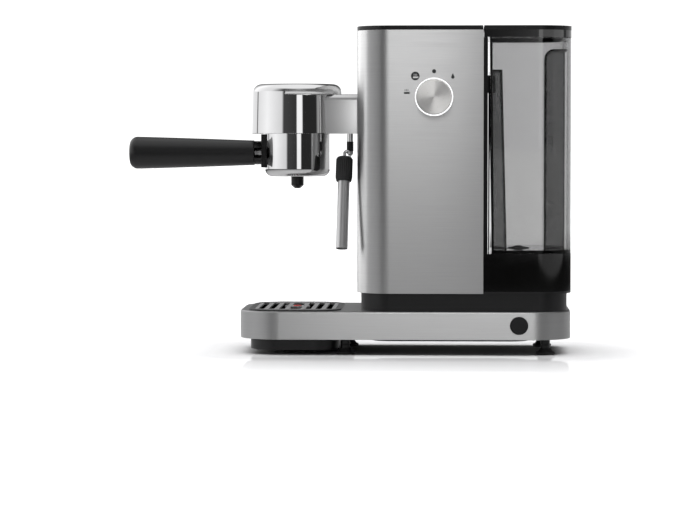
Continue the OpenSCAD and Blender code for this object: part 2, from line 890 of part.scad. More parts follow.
// Side view of the hand recess in the tank's right end, grown by a wall
module recess_side(g) {
    x0 = x_right - grip_d - g;
    z1 = recess_top + g;
    r = recess_r + g;
    translate([x0, dock_top - 1]) square([grip_d + 9, z1 - r - dock_top + 1]);
    translate([x0 + r, dock_top - 1]) square([grip_d + 9 - r, z1 - dock_top + 1]);
    translate([x0 + r, z1 - r]) circle(r);
}

// Side view of the guide channel in the tank's left side, grown by a wall
module guide_side(g)
    polygon([[seam_x - 5, guide_top + g], [seam_x + guide_in_top + g, guide_top + g],
        [seam_x + guide_in_bottom + g, dock_top - 1], [seam_x - 5, dock_top - 1]]);

module tank_channels(g) {
    along_y(yc - recess_w / 2 - g, yc + recess_w / 2 + g) recess_side(g);
    along_y(yc - guide_w / 2 - g, yc + guide_w / 2 + g) guide_side(g);
}

module tank_body()
    color([0.25, 0.25, 0.27, 0.6])
        difference() {
            intersection() {
                slab(body_x, x_right, dock_top, tank_top, body_r - tank_gap, tank_gap);
                along_y(y_front, y_rear) tank_side(0, dock_top, tank_top);
            }
            difference() {
                intersection() {
                    slab(body_x, x_right, dock_top + tank_floor, tank_top + 1,
                        body_r - tank_gap - tank_wall, tank_gap + tank_wall);
                    along_y(y_front, y_rear) tank_side(tank_wall, dock_top, tank_top + 1);
                }
                tank_channels(tank_wall);
            }
            tank_channels(0);
            zcyl(8.8, dock_top - 1, dock_top + tank_floor + 1, valve_x, yc);
        }

module tank_rim()
    color("black")
        difference() {
            union() {
                difference() {
                    intersection() {
                        slab(body_x, x_right, tank_top, z_shell, body_r);
                        right_of(seam_x + 0.5, tank_top, z_shell);
                    }
                    intersection() {
                        slab(body_x, x_right, tank_top - 1, z_shell + 1, body_r - 6, 6);
                        right_of(seam_x + draft_top + tank_wall + 0.4, tank_top, z_shell);
                    }
                }
                intersection() {
                    difference() {
                        slab(body_x, x_right, tank_top - lip_h, tank_top, body_r - 2.7, 2.7);
                        slab(body_x, x_right, tank_top - lip_h - 1, tank_top + 1, body_r - 4.5, 4.5);
                    }
                    right_of(seam_x + draft_top + tank_wall + 1, tank_top - lip_h, tank_top);
                }
                intersection() {
                    slab(body_x, x_right, z_shell, z_top, body_r);
                    block(seam_x + 0.5, x_right + 1, hinge_y + 2.55, y_rear + 1, z_shell, z_top);
                }
                for (x = [seam_x + 0.5, hinge_x1 + 0.2])
                    block(x, x + 3.2, hinge_y - 2.2, hinge_y + 3, z_shell, z_top);
            }
            xcyl(1.02, seam_x - 1, hinge_x1 + 10, hinge_y, hinge_z);
        }

module tank_lid()
    color("black")
        difference() {
            union() {
                difference() {
                    intersection() {
                        slab(body_x, x_right, z_shell, z_top, body_r);
                        right_of(seam_x + 0.5, z_shell, z_top);
                    }
                    block(seam_x - 1, x_right + 1, hinge_y, y_rear + 1, z_shell - 1, z_top + 1);
                    block(seam_x - 1, hinge_x0, hinge_y - ear_gap, y_rear, z_shell - 1, z_top + 1);
                    block(hinge_x1 - 0.1, x_right + 1, hinge_y - ear_gap, y_rear, z_shell - 1, z_top + 1);
                }
                xcyl(2, hinge_x0, hinge_x1 - 0.1, hinge_y, hinge_z);
                intersection() {
                    difference() {
                        slab(body_x, x_right, z_shell - 5, z_shell, body_r - 6.5, 6.5);
                        slab(body_x, x_right, z_shell - 6, z_shell + 1, body_r - 8.5, 8.5);
                    }
                    block(seam_x + draft_top + tank_wall + 0.9, x_right, y_front, hinge_y - 10,
                        z_shell - 6, z_shell + 1);
                }
            }
            xcyl(1.06, seam_x - 1, hinge_x1 + 10, hinge_y, hinge_z);
        }

module lid_pin()
    color("silver") xcyl(1, seam_x + 0.6, hinge_x1 + 3.3, hinge_y, hinge_z);

module tank_valve()
    color("black")
        difference() {
            union() {
                zcyl(11, dock_top + tank_floor, collar_top, valve_x, yc);
                zcyl(8.7, dock_top - 10, dock_top + tank_floor, valve_x, yc);
            }
            zcyl(3.2, dock_top - 11, dock_top + 1, valve_x, yc);
            zcyl(6, valve_seat_z, dock_top + 6, valve_x, yc);
        }

module valve_poppet()
    color("white") {
        zcyl(5.2, valve_seat_z + 1.5, valve_seat_z + 3.5, valve_x, yc);
        zcyl(2.4, dock_top - 8.8, valve_seat_z + 1.5, valve_x, yc);
    }

module tank_filter()
    color("dimgray")
        difference() {
            union() {
                zcyl(7, collar_top, collar_top + 0.7, valve_x, yc);
                zcyl(4, collar_top + 0.6, collar_top + 1.7, valve_x, yc);
            }
            for (i = [0 : 5])
                translate([valve_x, yc, 0]) rotate(60 * i)
                    block(4.4, 5.8, -0.8, 0.8, collar_top - 1, collar_top + 1);
        }

// ---------- assembly ----------

base_pan();
bottom_plate();
feet_stems();
feet_pads();
plinth();
body_shell();
body_floor();
bulkhead();
top_cover();
tank_dock();
dock_seal();
arm_housing();
group_cap();
group_head();
group_gasket();
shower_screen();
thermoblock();
thermostats();
pump();
pump_mounts();
steam_valve();
control_board();
selector_switch();
light_ring();
panel_icons();
power_switch();
mains_gland();
inlet_hose();
pressure_hose();
group_pipe();
steam_pipe();
screws();
knob_core();
knob_cap();
power_button();
drip_tray();
grille_frame();
drip_grille();
tray_float();
portafilter_bowl();
filter_basket();
basket_ring();
spout();
handle_collar();
handle_stud();
handle();
wand_tube();
wand_collar();
wand_pipe();
wand_grip();
wand_tip();
wand_sleeve();
tank_body();
tank_rim();
tank_valve();
valve_poppet();
tank_filter();
tank_lid();
lid_pin();
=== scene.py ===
"""Builds the espresso machine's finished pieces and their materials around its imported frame."""

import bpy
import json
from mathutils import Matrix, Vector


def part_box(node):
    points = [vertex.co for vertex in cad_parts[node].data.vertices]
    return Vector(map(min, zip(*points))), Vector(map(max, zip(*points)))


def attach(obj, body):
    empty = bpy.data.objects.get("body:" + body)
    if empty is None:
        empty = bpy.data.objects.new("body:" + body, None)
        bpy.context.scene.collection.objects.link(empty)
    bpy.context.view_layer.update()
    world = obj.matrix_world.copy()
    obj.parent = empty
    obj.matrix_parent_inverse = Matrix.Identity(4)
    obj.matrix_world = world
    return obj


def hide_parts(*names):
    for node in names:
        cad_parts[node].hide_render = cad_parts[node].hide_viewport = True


bl_info = {
    "name": "Espresso Machine Builder",
    "version": (1, 0, 0),
    "blender": (4, 5, 0),
    "location": "View3D > Sidebar > Espresso",
    "description": "Builds an espresso machine piece by piece, with its materials, stage and camera",
    "category": "Object",
}

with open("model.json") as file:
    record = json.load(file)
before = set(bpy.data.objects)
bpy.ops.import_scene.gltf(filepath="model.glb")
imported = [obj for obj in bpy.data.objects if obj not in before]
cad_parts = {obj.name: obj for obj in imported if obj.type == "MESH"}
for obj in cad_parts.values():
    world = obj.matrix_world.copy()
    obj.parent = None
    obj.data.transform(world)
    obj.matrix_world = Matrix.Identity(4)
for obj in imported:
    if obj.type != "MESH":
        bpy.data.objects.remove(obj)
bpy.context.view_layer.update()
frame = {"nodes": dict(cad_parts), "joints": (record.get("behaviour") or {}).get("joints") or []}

import json
from math import atan2, cos, pi, radians, sin, tau

import bmesh
import bpy
from bpy.props import FloatProperty, IntProperty, PointerProperty, StringProperty
from mathutils import Matrix, Vector

MM = 0.001
WELD = 2e-6  # points nearer than this, in metres, are one point
SAME = 0.01  # lengths nearer than this, in millimetres, are one length
SMOOTH_BELOW = 32  # degrees: faces that meet at less than this shade as one surface


# ---------- sizes, in millimetres, from the frame ----------


def box(node):
    """The lowest and highest corners of a CAD node, in millimetres."""
    low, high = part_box(node)
    return low / MM, high / MM


def anchor(joint):
    """The point that a joint turns about, in millimetres."""
    found = [j for j in frame["joints"] if j["name"] == joint]
    return Vector(found[0]["pos_m"]) / MM


BASE_LOW, BASE_HIGH = box("base_pan")
SHELL_LOW, SHELL_HIGH = box("body_shell")
CAP_LOW, CAP_HIGH = box("group_cap")
BOWL_LOW, BOWL_HIGH = box("portafilter_bowl")
ARM_LOW, ARM_HIGH = box("arm_housing")
SPOUT_LOW, SPOUT_HIGH = box("spout")
STUD_LOW, STUD_HIGH = box("handle_stud")
HANDLE_LOW, HANDLE_HIGH = box("handle")
KNOB_LOW, KNOB_HIGH = box("knob_cap")
RING_LOW, RING_HIGH = box("light_ring")
BUTTON_LOW, BUTTON_HIGH = box("power_button")
TUBE_LOW, TUBE_HIGH = box("wand_tube")
FLOAT_LOW, FLOAT_HIGH = box("tray_float")
PAD_LOW, PAD_HIGH = box("feet_pads")
STEM_LOW, STEM_HIGH = box("feet_stems")

GROUP = (SPOUT_LOW + SPOUT_HIGH) / 2  # on the group's upright axis
KNOB = (KNOB_LOW + KNOB_HIGH) / 2
BUTTON = (BUTTON_LOW + BUTTON_HIGH) / 2
HANDLE_Z = (STUD_LOW.z + STUD_HIGH.z) / 2
WAND_BALL = anchor("wand_tilt")
MIDDLE_Y = (BASE_LOW.y + BASE_HIGH.y) / 2

SHEET = 1.2
BASE_CORNER = 42
BODY_CORNER = 34
CAP_WALL = 1.6
CAP_FILLET = 9
CAP_FOOT_R = (CAP_HIGH.y - CAP_LOW.y) / 2
CAP_TOP_R = CAP_FOOT_R - 1
ARM_ROUND = 6
BOWL_R = 33.5
BOWL_FILLET = 8
BOWL_WALL = 2
TUB = (90, 138, 28)  # length, width and corner radius of the drip tray's tub
TUB_GAP = 0.5  # all round, between the tub and the base pan
BUTTON_HOLE_R, GLAND_HOLE_R = 9.05, 6.2
PAD_R = 9.5
VENTS, VENT_PITCH, VENT_WIDTH, VENT_ROUND = 10, 6, 3, 1.49
CAP_SEAT_R = 44.6  # the arm is cut away inside this, to carry the cap
WAND_LEAN, WAND_SIDE = 14, 1.2  # degrees, forwards and towards the group
PIPE_R = 1.6
PIPE_BEND = 2.6
PIPE_FORWARD = 8
BALL_R = 3.2  # the bent pipe leaves the wand's ball at its lowest point
SLEEVE_AXIS = (-2 * PIPE_BEND, -PIPE_FORWARD, 0)  # where the sleeve and grip stand, from the ball
SLEEVE_R, SLEEVE_END, SLEEVE_TOP = 6, -101.8, -23.4
GRIP_R, GRIP_TOP, GRIP_END = 8.6, -6.3, -32.1


# ---------- settings ----------


def linear(hex_colour):
    """An sRGB hex colour as the linear RGBA that shaders take."""
    parts = [int(hex_colour[i : i + 2], 16) / 255 for i in (1, 3, 5)]
    return [c / 12.92 if c <= 0.04045 else ((c + 0.055) / 1.055) ** 2.4 for c in parts] + [1]


class MachineSettings(bpy.types.PropertyGroup):
    """Sizes and colours that can be changed before the pieces are built."""

    deck_round: FloatProperty(
        name="Deck edge",
        description="Radius where the base's sides turn into its deck",
        default=1.8 * MM,
        min=0.0,
        unit="LENGTH",
    )
    steps: IntProperty(
        name="Turning steps", description="Steps round a full turn of a turned piece", default=96, min=24
    )
    steel: StringProperty(
        name="Steel colour", description="sRGB hex colour of the brushed steel", default="#A4A4A4"
    )
    chrome: StringProperty(
        name="Chrome colour", description="sRGB hex colour of the polished chrome", default="#D4D4D4"
    )
    smoke: StringProperty(
        name="Tank tint", description="sRGB hex colour that one wall of the tank passes", default="#FFFFFF"
    )
    glow: FloatProperty(
        name="Ring brightness", description="How brightly the light ring glows", default=0.75, min=0.0
    )


def settings():
    return bpy.context.scene.machine_settings


# ---------- modelling helpers: all sizes in millimetres ----------


def focus(piece):
    """Leaves one piece selected and active, in object mode."""
    if bpy.context.mode != "OBJECT":
        bpy.ops.object.mode_set(mode="OBJECT")
    bpy.ops.object.select_all(action="DESELECT")
    if piece:
        piece.select_set(True)
        bpy.context.view_layer.objects.active = piece
    return piece


def edit(piece, kind="EDGE"):
    """Opens a piece for editing with nothing selected."""
    focus(piece)
    bpy.ops.object.mode_set(mode="EDIT")
    bpy.ops.mesh.select_mode(type=kind)
    bpy.ops.mesh.select_all(action="DESELECT")


def done():
    bpy.ops.object.mode_set(mode="OBJECT")
    return bpy.context.object


def select(kind, hit):
    """Selects the verts, edges or faces of the piece being edited that hit(item) is true for."""
    mesh = bmesh.from_edit_mesh(bpy.context.object.data)
    for item in getattr(mesh, kind):
        item.select_set(bool(hit(item)))
    mesh.select_flush_mode()
    bmesh.update_edit_mesh(bpy.context.object.data)


def pick(test, kind="edges"):
    """Selects verts or edges whose ends all pass the test, or faces whose middle and normal do."""
    if kind == "faces":
        select(kind, lambda face: test(face.calc_center_median() / MM, face.normal))
    elif kind == "edges":
        select(kind, lambda edge: all(test(vert.co / MM) for vert in edge.verts))
    else:
        select(kind, lambda vert: test(vert.co / MM))


def pick_along(axis, test=lambda point: True):
    """Selects the edges that run along the axis X, Y or Z where the test passes."""

    def hit(edge):
        a, b = (vert.co / MM for vert in edge.verts)
        across = sum(abs(a[i] - b[i]) for i in range(3) if "XYZ"[i] != axis)
        return across < SAME and test(a)

    select("edges", hit)


def bevel(width, segments):
    bpy.ops.mesh.bevel(offset=width * MM, segments=segments, affect="EDGES", clamp_overlap=False)


def block(low, high):
    """A cube stretched between two corners."""
    focus(None)
    middle = [(a + b) / 2 * MM for a, b in zip(low, high)]
    size = [(b - a) * MM for a, b in zip(low, high)]
    bpy.ops.mesh.primitive_cube_add(size=1, location=middle, scale=size)
    bpy.ops.object.transform_apply(location=True, rotation=True, scale=True)
    return bpy.context.object


def rod(radius, start, end, vertices=64):
    """A cylinder from one point to another."""
    focus(None)
    a, b = Vector(start) * MM, Vector(end) * MM
    turn = (b - a).to_track_quat("Z", "Y").to_euler()
    bpy.ops.mesh.primitive_cylinder_add(
        vertices=vertices, radius=radius * MM, depth=(b - a).length, location=(a + b) / 2, rotation=turn
    )
    bpy.ops.object.transform_apply(location=True, rotation=True, scale=True)
    return bpy.context.object


def rounded_block(low, high, radius, corners, segments=20):
    """A block whose upright edges are rounded where corners(point) says so."""
    piece = block(low, high)
    edit(piece)
    pick_along("Z", corners)
    bevel(radius, segments)
    return done()


def arc(across, along, radius, start, end, steps=8):
    """Points on an arc of a half section, from one angle to another in degrees."""
    turns = [radians(start + (end - start) * i / steps) for i in range(steps + 1)]
    return [(across + radius * cos(t), along + radius * sin(t)) for t in turns]


def lathe(section, at, axis="Z", turn=360, steps=None, start=0):
    """Extrudes a half section point by point, then spins it. Its points are (radius, place on axis)."""
    steps = steps or settings().steps
    at = Vector(at)
    side = {"X": Vector((0, 0, 1)), "Y": Vector((1, 0, 0)), "Z": Vector((1, 0, 0))}[axis]
    up = {"X": Vector((1, 0, 0)), "Y": Vector((0, 1, 0)), "Z": Vector((0, 0, 1))}[axis]
    centre = at - up * at.dot(up)
    side = Matrix.Rotation(radians(start), 3, up) @ side
    points = [(centre + side * r + up * h) * MM for r, h in section]
    focus(None)
    bpy.ops.mesh.primitive_plane_add(size=MM, location=points[0])
    bpy.ops.object.transform_apply(location=True, rotation=True, scale=True)
    bpy.ops.object.mode_set(mode="EDIT")
    bpy.ops.mesh.select_mode(type="VERT")
    bpy.ops.mesh.select_all(action="SELECT")
    bpy.ops.mesh.merge(type="CENTER")
    for before, after in zip(points, points[1:]):
        bpy.ops.mesh.extrude_vertices_move(TRANSFORM_OT_translate={"value": after - before})
    bpy.ops.mesh.select_all(action="SELECT")
    part = max(2, round(steps * turn / 360))
    bpy.ops.mesh.spin(steps=part, angle=radians(turn), center=centre * MM, axis=up)
    tidy_mesh()
    return done()


def tidy_mesh():
    """Merges points that lie together and turns all faces outwards."""
    bpy.ops.mesh.select_all(action="SELECT")
    bpy.ops.mesh.remove_doubles(threshold=WELD)
    bpy.ops.mesh.normals_make_consistent(inside=False)


def modify(piece, kind, **values):
    """Adds a modifier with its settings and applies it."""
    focus(piece)
    modifier = piece.modifiers.new(kind.lower(), kind)
    for name, value in values.items():
        setattr(modifier, name, value)
    bpy.ops.object.modifier_apply(modifier=modifier.name)
    return piece


def carve(piece, *cutters, operation="DIFFERENCE"):
    """Cuts pieces out of a piece, or adds or intersects them, and removes them."""
    for cutter in cutters:
        modify(piece, "BOOLEAN", operation=operation, solver="EXACT", object=cutter)
        bpy.data.objects.remove(cutter)
    return piece


def joined(pieces):
    """Several pieces as one."""
    focus(pieces[0])
    for piece in pieces[1:]:
        piece.select_set(True)
    bpy.ops.object.join()
    return bpy.context.object


def another(piece, offset=(0, 0, 0)):
    """A copy of a piece with its own mesh, moved."""
    focus(piece)
    bpy.ops.object.duplicate()
    bpy.ops.transform.translate(value=Vector(offset) * MM)
    bpy.ops.object.transform_apply(location=True, rotation=True, scale=True)
    return bpy.context.object


def refined(node):
    """A merged copy of a CAD node, with its flat faces made whole."""
    source = frame["nodes"][node]
    piece = bpy.data.objects.new(node, source.data.copy())
    bpy.context.scene.collection.objects.link(piece)
    edit(piece, "VERT")
    bpy.ops.mesh.select_all(action="SELECT")
    bpy.ops.mesh.remove_doubles(threshold=WELD)
    bpy.ops.mesh.dissolve_limited(angle_limit=radians(0.5))
    bpy.ops.mesh.customdata_custom_splitnormals_clear()
    return done()


def soften(piece, width, segments=2, angle=38):
    """Rounds every edge sharper than an angle."""
    return modify(
        piece,
        "BEVEL",
        width=width * MM,
        segments=segments,
        limit_method="ANGLE",
        angle_limit=radians(angle),
        miter_outer="MITER_ARC",
        use_clamp_overlap=True,
    )


def placed(piece, name, body, finish, slot, nodes=(), smooth=SMOOTH_BELOW):
    """Shades, names and paints a finished piece, and seats it on its body in place of CAD nodes."""
    focus(piece)
    bpy.ops.object.transform_apply(location=True, rotation=True, scale=True)
    bpy.ops.object.shade_smooth_by_angle(angle=radians(smooth))
    modify(piece, "WEIGHTED_NORMAL", keep_sharp=True)
    piece.name = piece.data.name = name
    piece.data.materials.clear()
    for each in finish if isinstance(finish, (list, tuple)) else [finish]:
        piece.data.materials.append(material(each))
    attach(piece, body)
    if nodes:
        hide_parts(*nodes)
    for lamp, lit in LAMP_REACH.items():
        if name in lit:
            reach(lamp).objects.link(piece)
    return piece


def softened(node, width, name, body, finish, slot, segments=2):
    """Places a CAD node's own shape with its sharp edges rounded."""
    return placed(soften(refined(node), width, segments), name, body, finish, slot, [node])


# The lamps that only light some pieces, and the pieces
LAMP_REACH = {
    "key_box": ("body_sheet",),
    "left_box": ("body_sheet",),
    "knob_box": ("turned_knob_cap",),
    "base_box": ("base_pressing",),
    "arm_box": ("satin_arm",),
    "tank_box": ("tank_rim_moulding",),
    "dock_box": ("tank_dock_moulding",),
}


def reach(lamp):
    """The collection of pieces that a lamp lights, made once."""
    name = lamp + "_reach"
    return bpy.data.collections.get(name) or bpy.data.collections.new(name)


def paint_faces(piece, index, test):
    """Gives a piece's faces its material number index where the test passes."""
    for face in piece.data.polygons:
        if test(face.center / MM, face.normal):
            face.material_index = index


# ---------- materials ----------


def add(tree, kind, inputs=None, **values):
    """Adds a shader node, with its settings, its values and its links."""
    made = tree.nodes.new("ShaderNode" + kind)
    for name, value in values.items():
        setattr(made, name, value)
    for key, value in (inputs or {}).items():
        if isinstance(value, bpy.types.NodeSocket):
            tree.links.new(value, made.inputs[key])
        else:
            made.inputs[key].default_value = value
    return made


def mapped(tree, value, low, high, at_low, at_high):
    """A value that goes from at_low to at_high while another goes from low to high."""
    return add(tree, "MapRange", {0: value, 1: low, 2: high, 3: at_low, 4: at_high}).outputs[0]


def sums(tree, operation, *values):
    """What one math node makes of its values."""
    return add(tree, "Math", dict(enumerate(values)), operation=operation).outputs[0]


def mix(tree, share, first, second):
    """A colour between two, by a share."""
    return add(tree, "Mix", {0: share, 6: first, 7: second}, data_type="RGBA").outputs[2]


def on_vectors(tree, operation, *vectors):
    """The math node for vectors, with its two outputs Vector and Value."""
    return add(tree, "VectorMath", dict(enumerate(vectors)), operation=operation).outputs


# Each finish: what it is made of and how, the two colours that its grain mixes, the grain's length
# along X, Y and Z in millimetres, roughness from the smoothest to the roughest grain, the grain's
# depth in millimetres, and values for the shader's own sockets.
FINISHES = {
    # Stainless steel sheet brushed lengthwise: fine level lines, and highlights drawn out upwards
    "Brushed Stainless Steel": dict(
        colours=("#A4A4A4", "#989898"),
        grain=(60, 60, 0.45),
        rough=(0.36, 0.44),
        depth=0.004,
        metal=1,
        sockets={"Anisotropic": 0.8, "Anisotropic Rotation": 0.25},
    ),
    # The same sheet seen from above, where the brushed lines run along the deck
    "Brushed Stainless Deck": dict(
        colours=("#A2A2A2", "#8C8C8C"),
        grain=(120, 0.4, 120),
        rough=(0.34, 0.4),
        depth=0.002,
        metal=1,
    ),
    # Die-cast zinc, polished and chrome plated: mirror bright, with the faintest ripple
    "Polished Chrome Plate": dict(
        colours=("#D4D4D4", "#CECECE"), grain=(14, 14, 14), rough=(0.02, 0.04), depth=0.0005, metal=1
    ),
    # Steel pressing blasted to a fine even satin
    "Satin Steel": dict(
        colours=("#C2C2C2", "#B6B6B6"), grain=(0.5, 0.5, 0.5), rough=(0.28, 0.32), depth=0.001, metal=1
    ),
    # Blasted steel slats, from white to grey with the grain
    "Smoked Steel": dict(
        colours=("#FFFFFF", "#606060"), grain=(0.5, 0.5, 0.5), rough=(0.3, 0.36), depth=0.001, metal=1
    ),
    # Steel tube drawn and polished along its length
    "Drawn Steel Tube": dict(
        colours=("#CCCCCC", "#C2C2C2"), grain=(0.6, 0.6, 40), rough=(0.32, 0.38), depth=0.0006, metal=1
    ),
    # Woven nylon mesh over the button's face, too fine to see thread by thread
    "Mesh Weave": dict(
        colours=("#0A0A0B", "#1A1A1B"), grain=(0.8, 0.8, 0.8), rough=(0.4, 0.55), depth=0.03, metal=0,
        sockets={"Specular IOR Level": 0.3},
    ),
    # Aluminium faced on a lathe: rings too fine to see, so that light fans out from the middle
    "Spun Aluminium": dict(
        colours=("#D4D3D1", "#C2C1BF"),
        grain=(0.8, 0.8, 0.8),
        rough=(0.26, 0.34),
        depth=0.001,
        metal=1,
        sockets={"Anisotropic": 0.9, "Anisotropic Rotation": 0.12},
        turned="Y",
    ),
    # Cast aluminium, unpolished: an even fine pebble
    "Cast Aluminium": dict(
        colours=("#9A9A98", "#80807E"), grain=(1.5, 1.5, 1.5), rough=(0.45, 0.6), depth=0.03, metal=1
    ),
    # Zinc plated steel screws and springs
    "Zinc Plated Steel": dict(
        colours=("#B9BABB", "#A2A4A6"), grain=(3, 3, 3), rough=(0.28, 0.4), depth=0.004, metal=1
    ),
    # Copper pipe, drawn and slightly tarnished
    "Drawn Copper": dict(
        colours=("#C77B52", "#9E5A3A"), grain=(12, 4, 12), rough=(0.25, 0.4), depth=0.003, metal=1
    ),
    # Glass filled nylon moulded in a fine spark-eroded mould: deep black with a soft broad sheen
    "Moulded Nylon": dict(
        colours=("#080809", "#0D0D0E"), grain=(0.7, 0.7, 0.7), rough=(0.34, 0.42), depth=0.008, metal=0,
        sockets={"Specular IOR Level": 0.4},
    ),
    # Satin black ABS for covers, frames and fittings
    "Satin Black ABS": dict(
        colours=("#0A0A0B", "#101011"), grain=(0.9, 0.9, 0.9), rough=(0.3, 0.4), depth=0.006, metal=0,
        sockets={"Specular IOR Level": 0.35},
    ),
    # Gloss black ABS from a polished mould: a clean reflection over a black ground
    "Gloss Black ABS": dict(
        colours=("#030303", "#050505"), grain=(25, 25, 25), rough=(0.04, 0.07), depth=0.0005, metal=0
    ),
    # Nitrile rubber feet and seals: dull and slightly grey where it is handled
    "Black Rubber": dict(
        colours=("#121212", "#1C1C1C"), grain=(1.2, 1.2, 1.2), rough=(0.6, 0.75), depth=0.02, metal=0
    ),
    # Silicone gaskets: soft satin red
    "Red Silicone": dict(
        colours=("#A3221A", "#8C1B15"), grain=(2, 2, 2), rough=(0.45, 0.55), depth=0.006, metal=0
    ),
    # The tray's float: glossy red polypropylene
    "Red Polypropylene": dict(
        colours=("#C4160F", "#A8110C"), grain=(4, 4, 4), rough=(0.25, 0.35), depth=0.004, metal=0
    ),
    # Silk-screened signs: thin dark grey ink
    "Screen Ink": dict(
        colours=("#232425", "#2E2F30"), grain=(0.5, 0.5, 0.5), rough=(0.45, 0.6), depth=0.004, metal=0
    ),
    # Grey and white mouldings inside: nylon and acetal
    "Grey Nylon": dict(
        colours=("#4A4C4E", "#3D3F41"), grain=(1.5, 1.5, 1.5), rough=(0.4, 0.55), depth=0.01, metal=0
    ),
    "White Acetal": dict(
        colours=("#DAD8D2", "#CBC9C3"), grain=(3, 3, 3), rough=(0.35, 0.45), depth=0.006, metal=0
    ),
    # Milky silicone hose
    "Silicone Hose": dict(
        colours=("#D5D7D8", "#C5C7C8"), grain=(5, 5, 5), rough=(0.3, 0.4), depth=0.004, metal=0
    ),
    # Printed circuit board under green solder resist
    "Solder Resist": dict(
        colours=("#1C5A36", "#164A2C"), grain=(1, 6, 1), rough=(0.25, 0.4), depth=0.01, metal=0
    ),
    # The vibration pump's orange nylon housing
    "Orange Nylon": dict(
        colours=("#B8622A", "#9C5022"), grain=(1.5, 1.5, 1.5), rough=(0.4, 0.55), depth=0.01, metal=0
    ),
    # Smoke tinted SAN, injection moulded: clear, glossy, and darker for each wall that is looked through
    "Smoked SAN": dict(
        colours=("#FFFFFF", "#FBFBFB"),
        grain=(60, 60, 60),
        rough=(0.0, 0.01),
        depth=0.0002,
        metal=0,
        sockets={"Transmission Weight": 1.0, "IOR": 1.49},
        absorbs=380,  # per metre of wall
    ),
    # Opal acrylic lit from behind
    "Lit Opal Acrylic": dict(
        colours=("#F4F6F8", "#E9ECEF"),
        grain=(2, 2, 2),
        rough=(0.3, 0.4),
        depth=0.001,
        metal=0,
        sockets={"Emission Color": (1, 1, 1, 1)},
        glow=True,
    ),
}


BROAD = 60  # millimetres across the broad blotches that every finish has beside its grain
BROAD_SHARE = 0.12  # how much of the mix they are


def material(name):
    """The named finish as a material, made once."""
    made = bpy.data.materials.get(name)
    if made:
        return made
    f = FINISHES[name]
    chosen = {
        "Brushed Stainless Steel": settings().steel,
        "Polished Chrome Plate": settings().chrome,
        "Smoked SAN": settings().smoke,
    }
    first, second = f["colours"]
    first = chosen.get(name, first)
    made = bpy.data.materials.new(name)
    made.use_nodes = True
    tree = made.node_tree
    tree.nodes.clear()
    place = add(tree, "TexCoord").outputs["Object"]
    scale = [1 / (mm * MM) for mm in f["grain"]]
    stretched = add(tree, "Mapping", {"Vector": place, "Scale": scale}).outputs[0]
    grain = add(tree, "TexNoise", {"Vector": stretched, "Scale": 1.0, "Detail": 3.0, "Roughness": 0.6})
    broad = add(tree, "TexNoise", {"Vector": place, "Scale": 1 / (BROAD * MM), "Detail": 2.0})
    fine = sums(tree, "MULTIPLY", grain.outputs[0], 1 - BROAD_SHARE)
    mixed = sums(tree, "MULTIPLY_ADD", broad.outputs[0], BROAD_SHARE, fine)
    colour = mix(tree, mixed, linear(first), linear(second))
    rough = mapped(tree, mixed, 0.3, 0.7, *f["rough"])
    bump = add(tree, "Bump", {"Strength": 0.5, "Distance": f["depth"] * MM, "Height": grain.outputs[0]})
    shader = add(
        tree,
        "BsdfPrincipled",
        {
            "Base Color": colour,
            "Metallic": float(f["metal"]),
            "Roughness": rough,
            "Normal": bump.outputs[0],
            **f.get("sockets", {}),
        },
    )
    if f.get("glow"):
        shader.inputs["Emission Strength"].default_value = settings().glow
    if f.get("turned"):
        tangent = add(tree, "Tangent", direction_type="RADIAL", axis=f["turned"])
        tree.links.new(tangent.outputs[0], shader.inputs["Tangent"])
    out = add(tree, "OutputMaterial", {"Surface": shader.outputs[0]})
    if f.get("absorbs"):
        inside = add(tree, "VolumeAbsorption", {"Color": (0.5, 0.5, 0.5, 1), "Density": 2.0 * f["absorbs"]})
        tree.links.new(inside.outputs[0], out.inputs["Volume"])
    return made


# ---------- pieces ----------

CHROME = ("Polished Chrome Plate", "polished_chrome")  # finish and slot


class Builder:
    """What every operator here shares: it builds its pieces, and an error stops the script."""

    bl_options = {"REGISTER", "UNDO"}

    def execute(self, context):
        self.build()
        return {"FINISHED"}


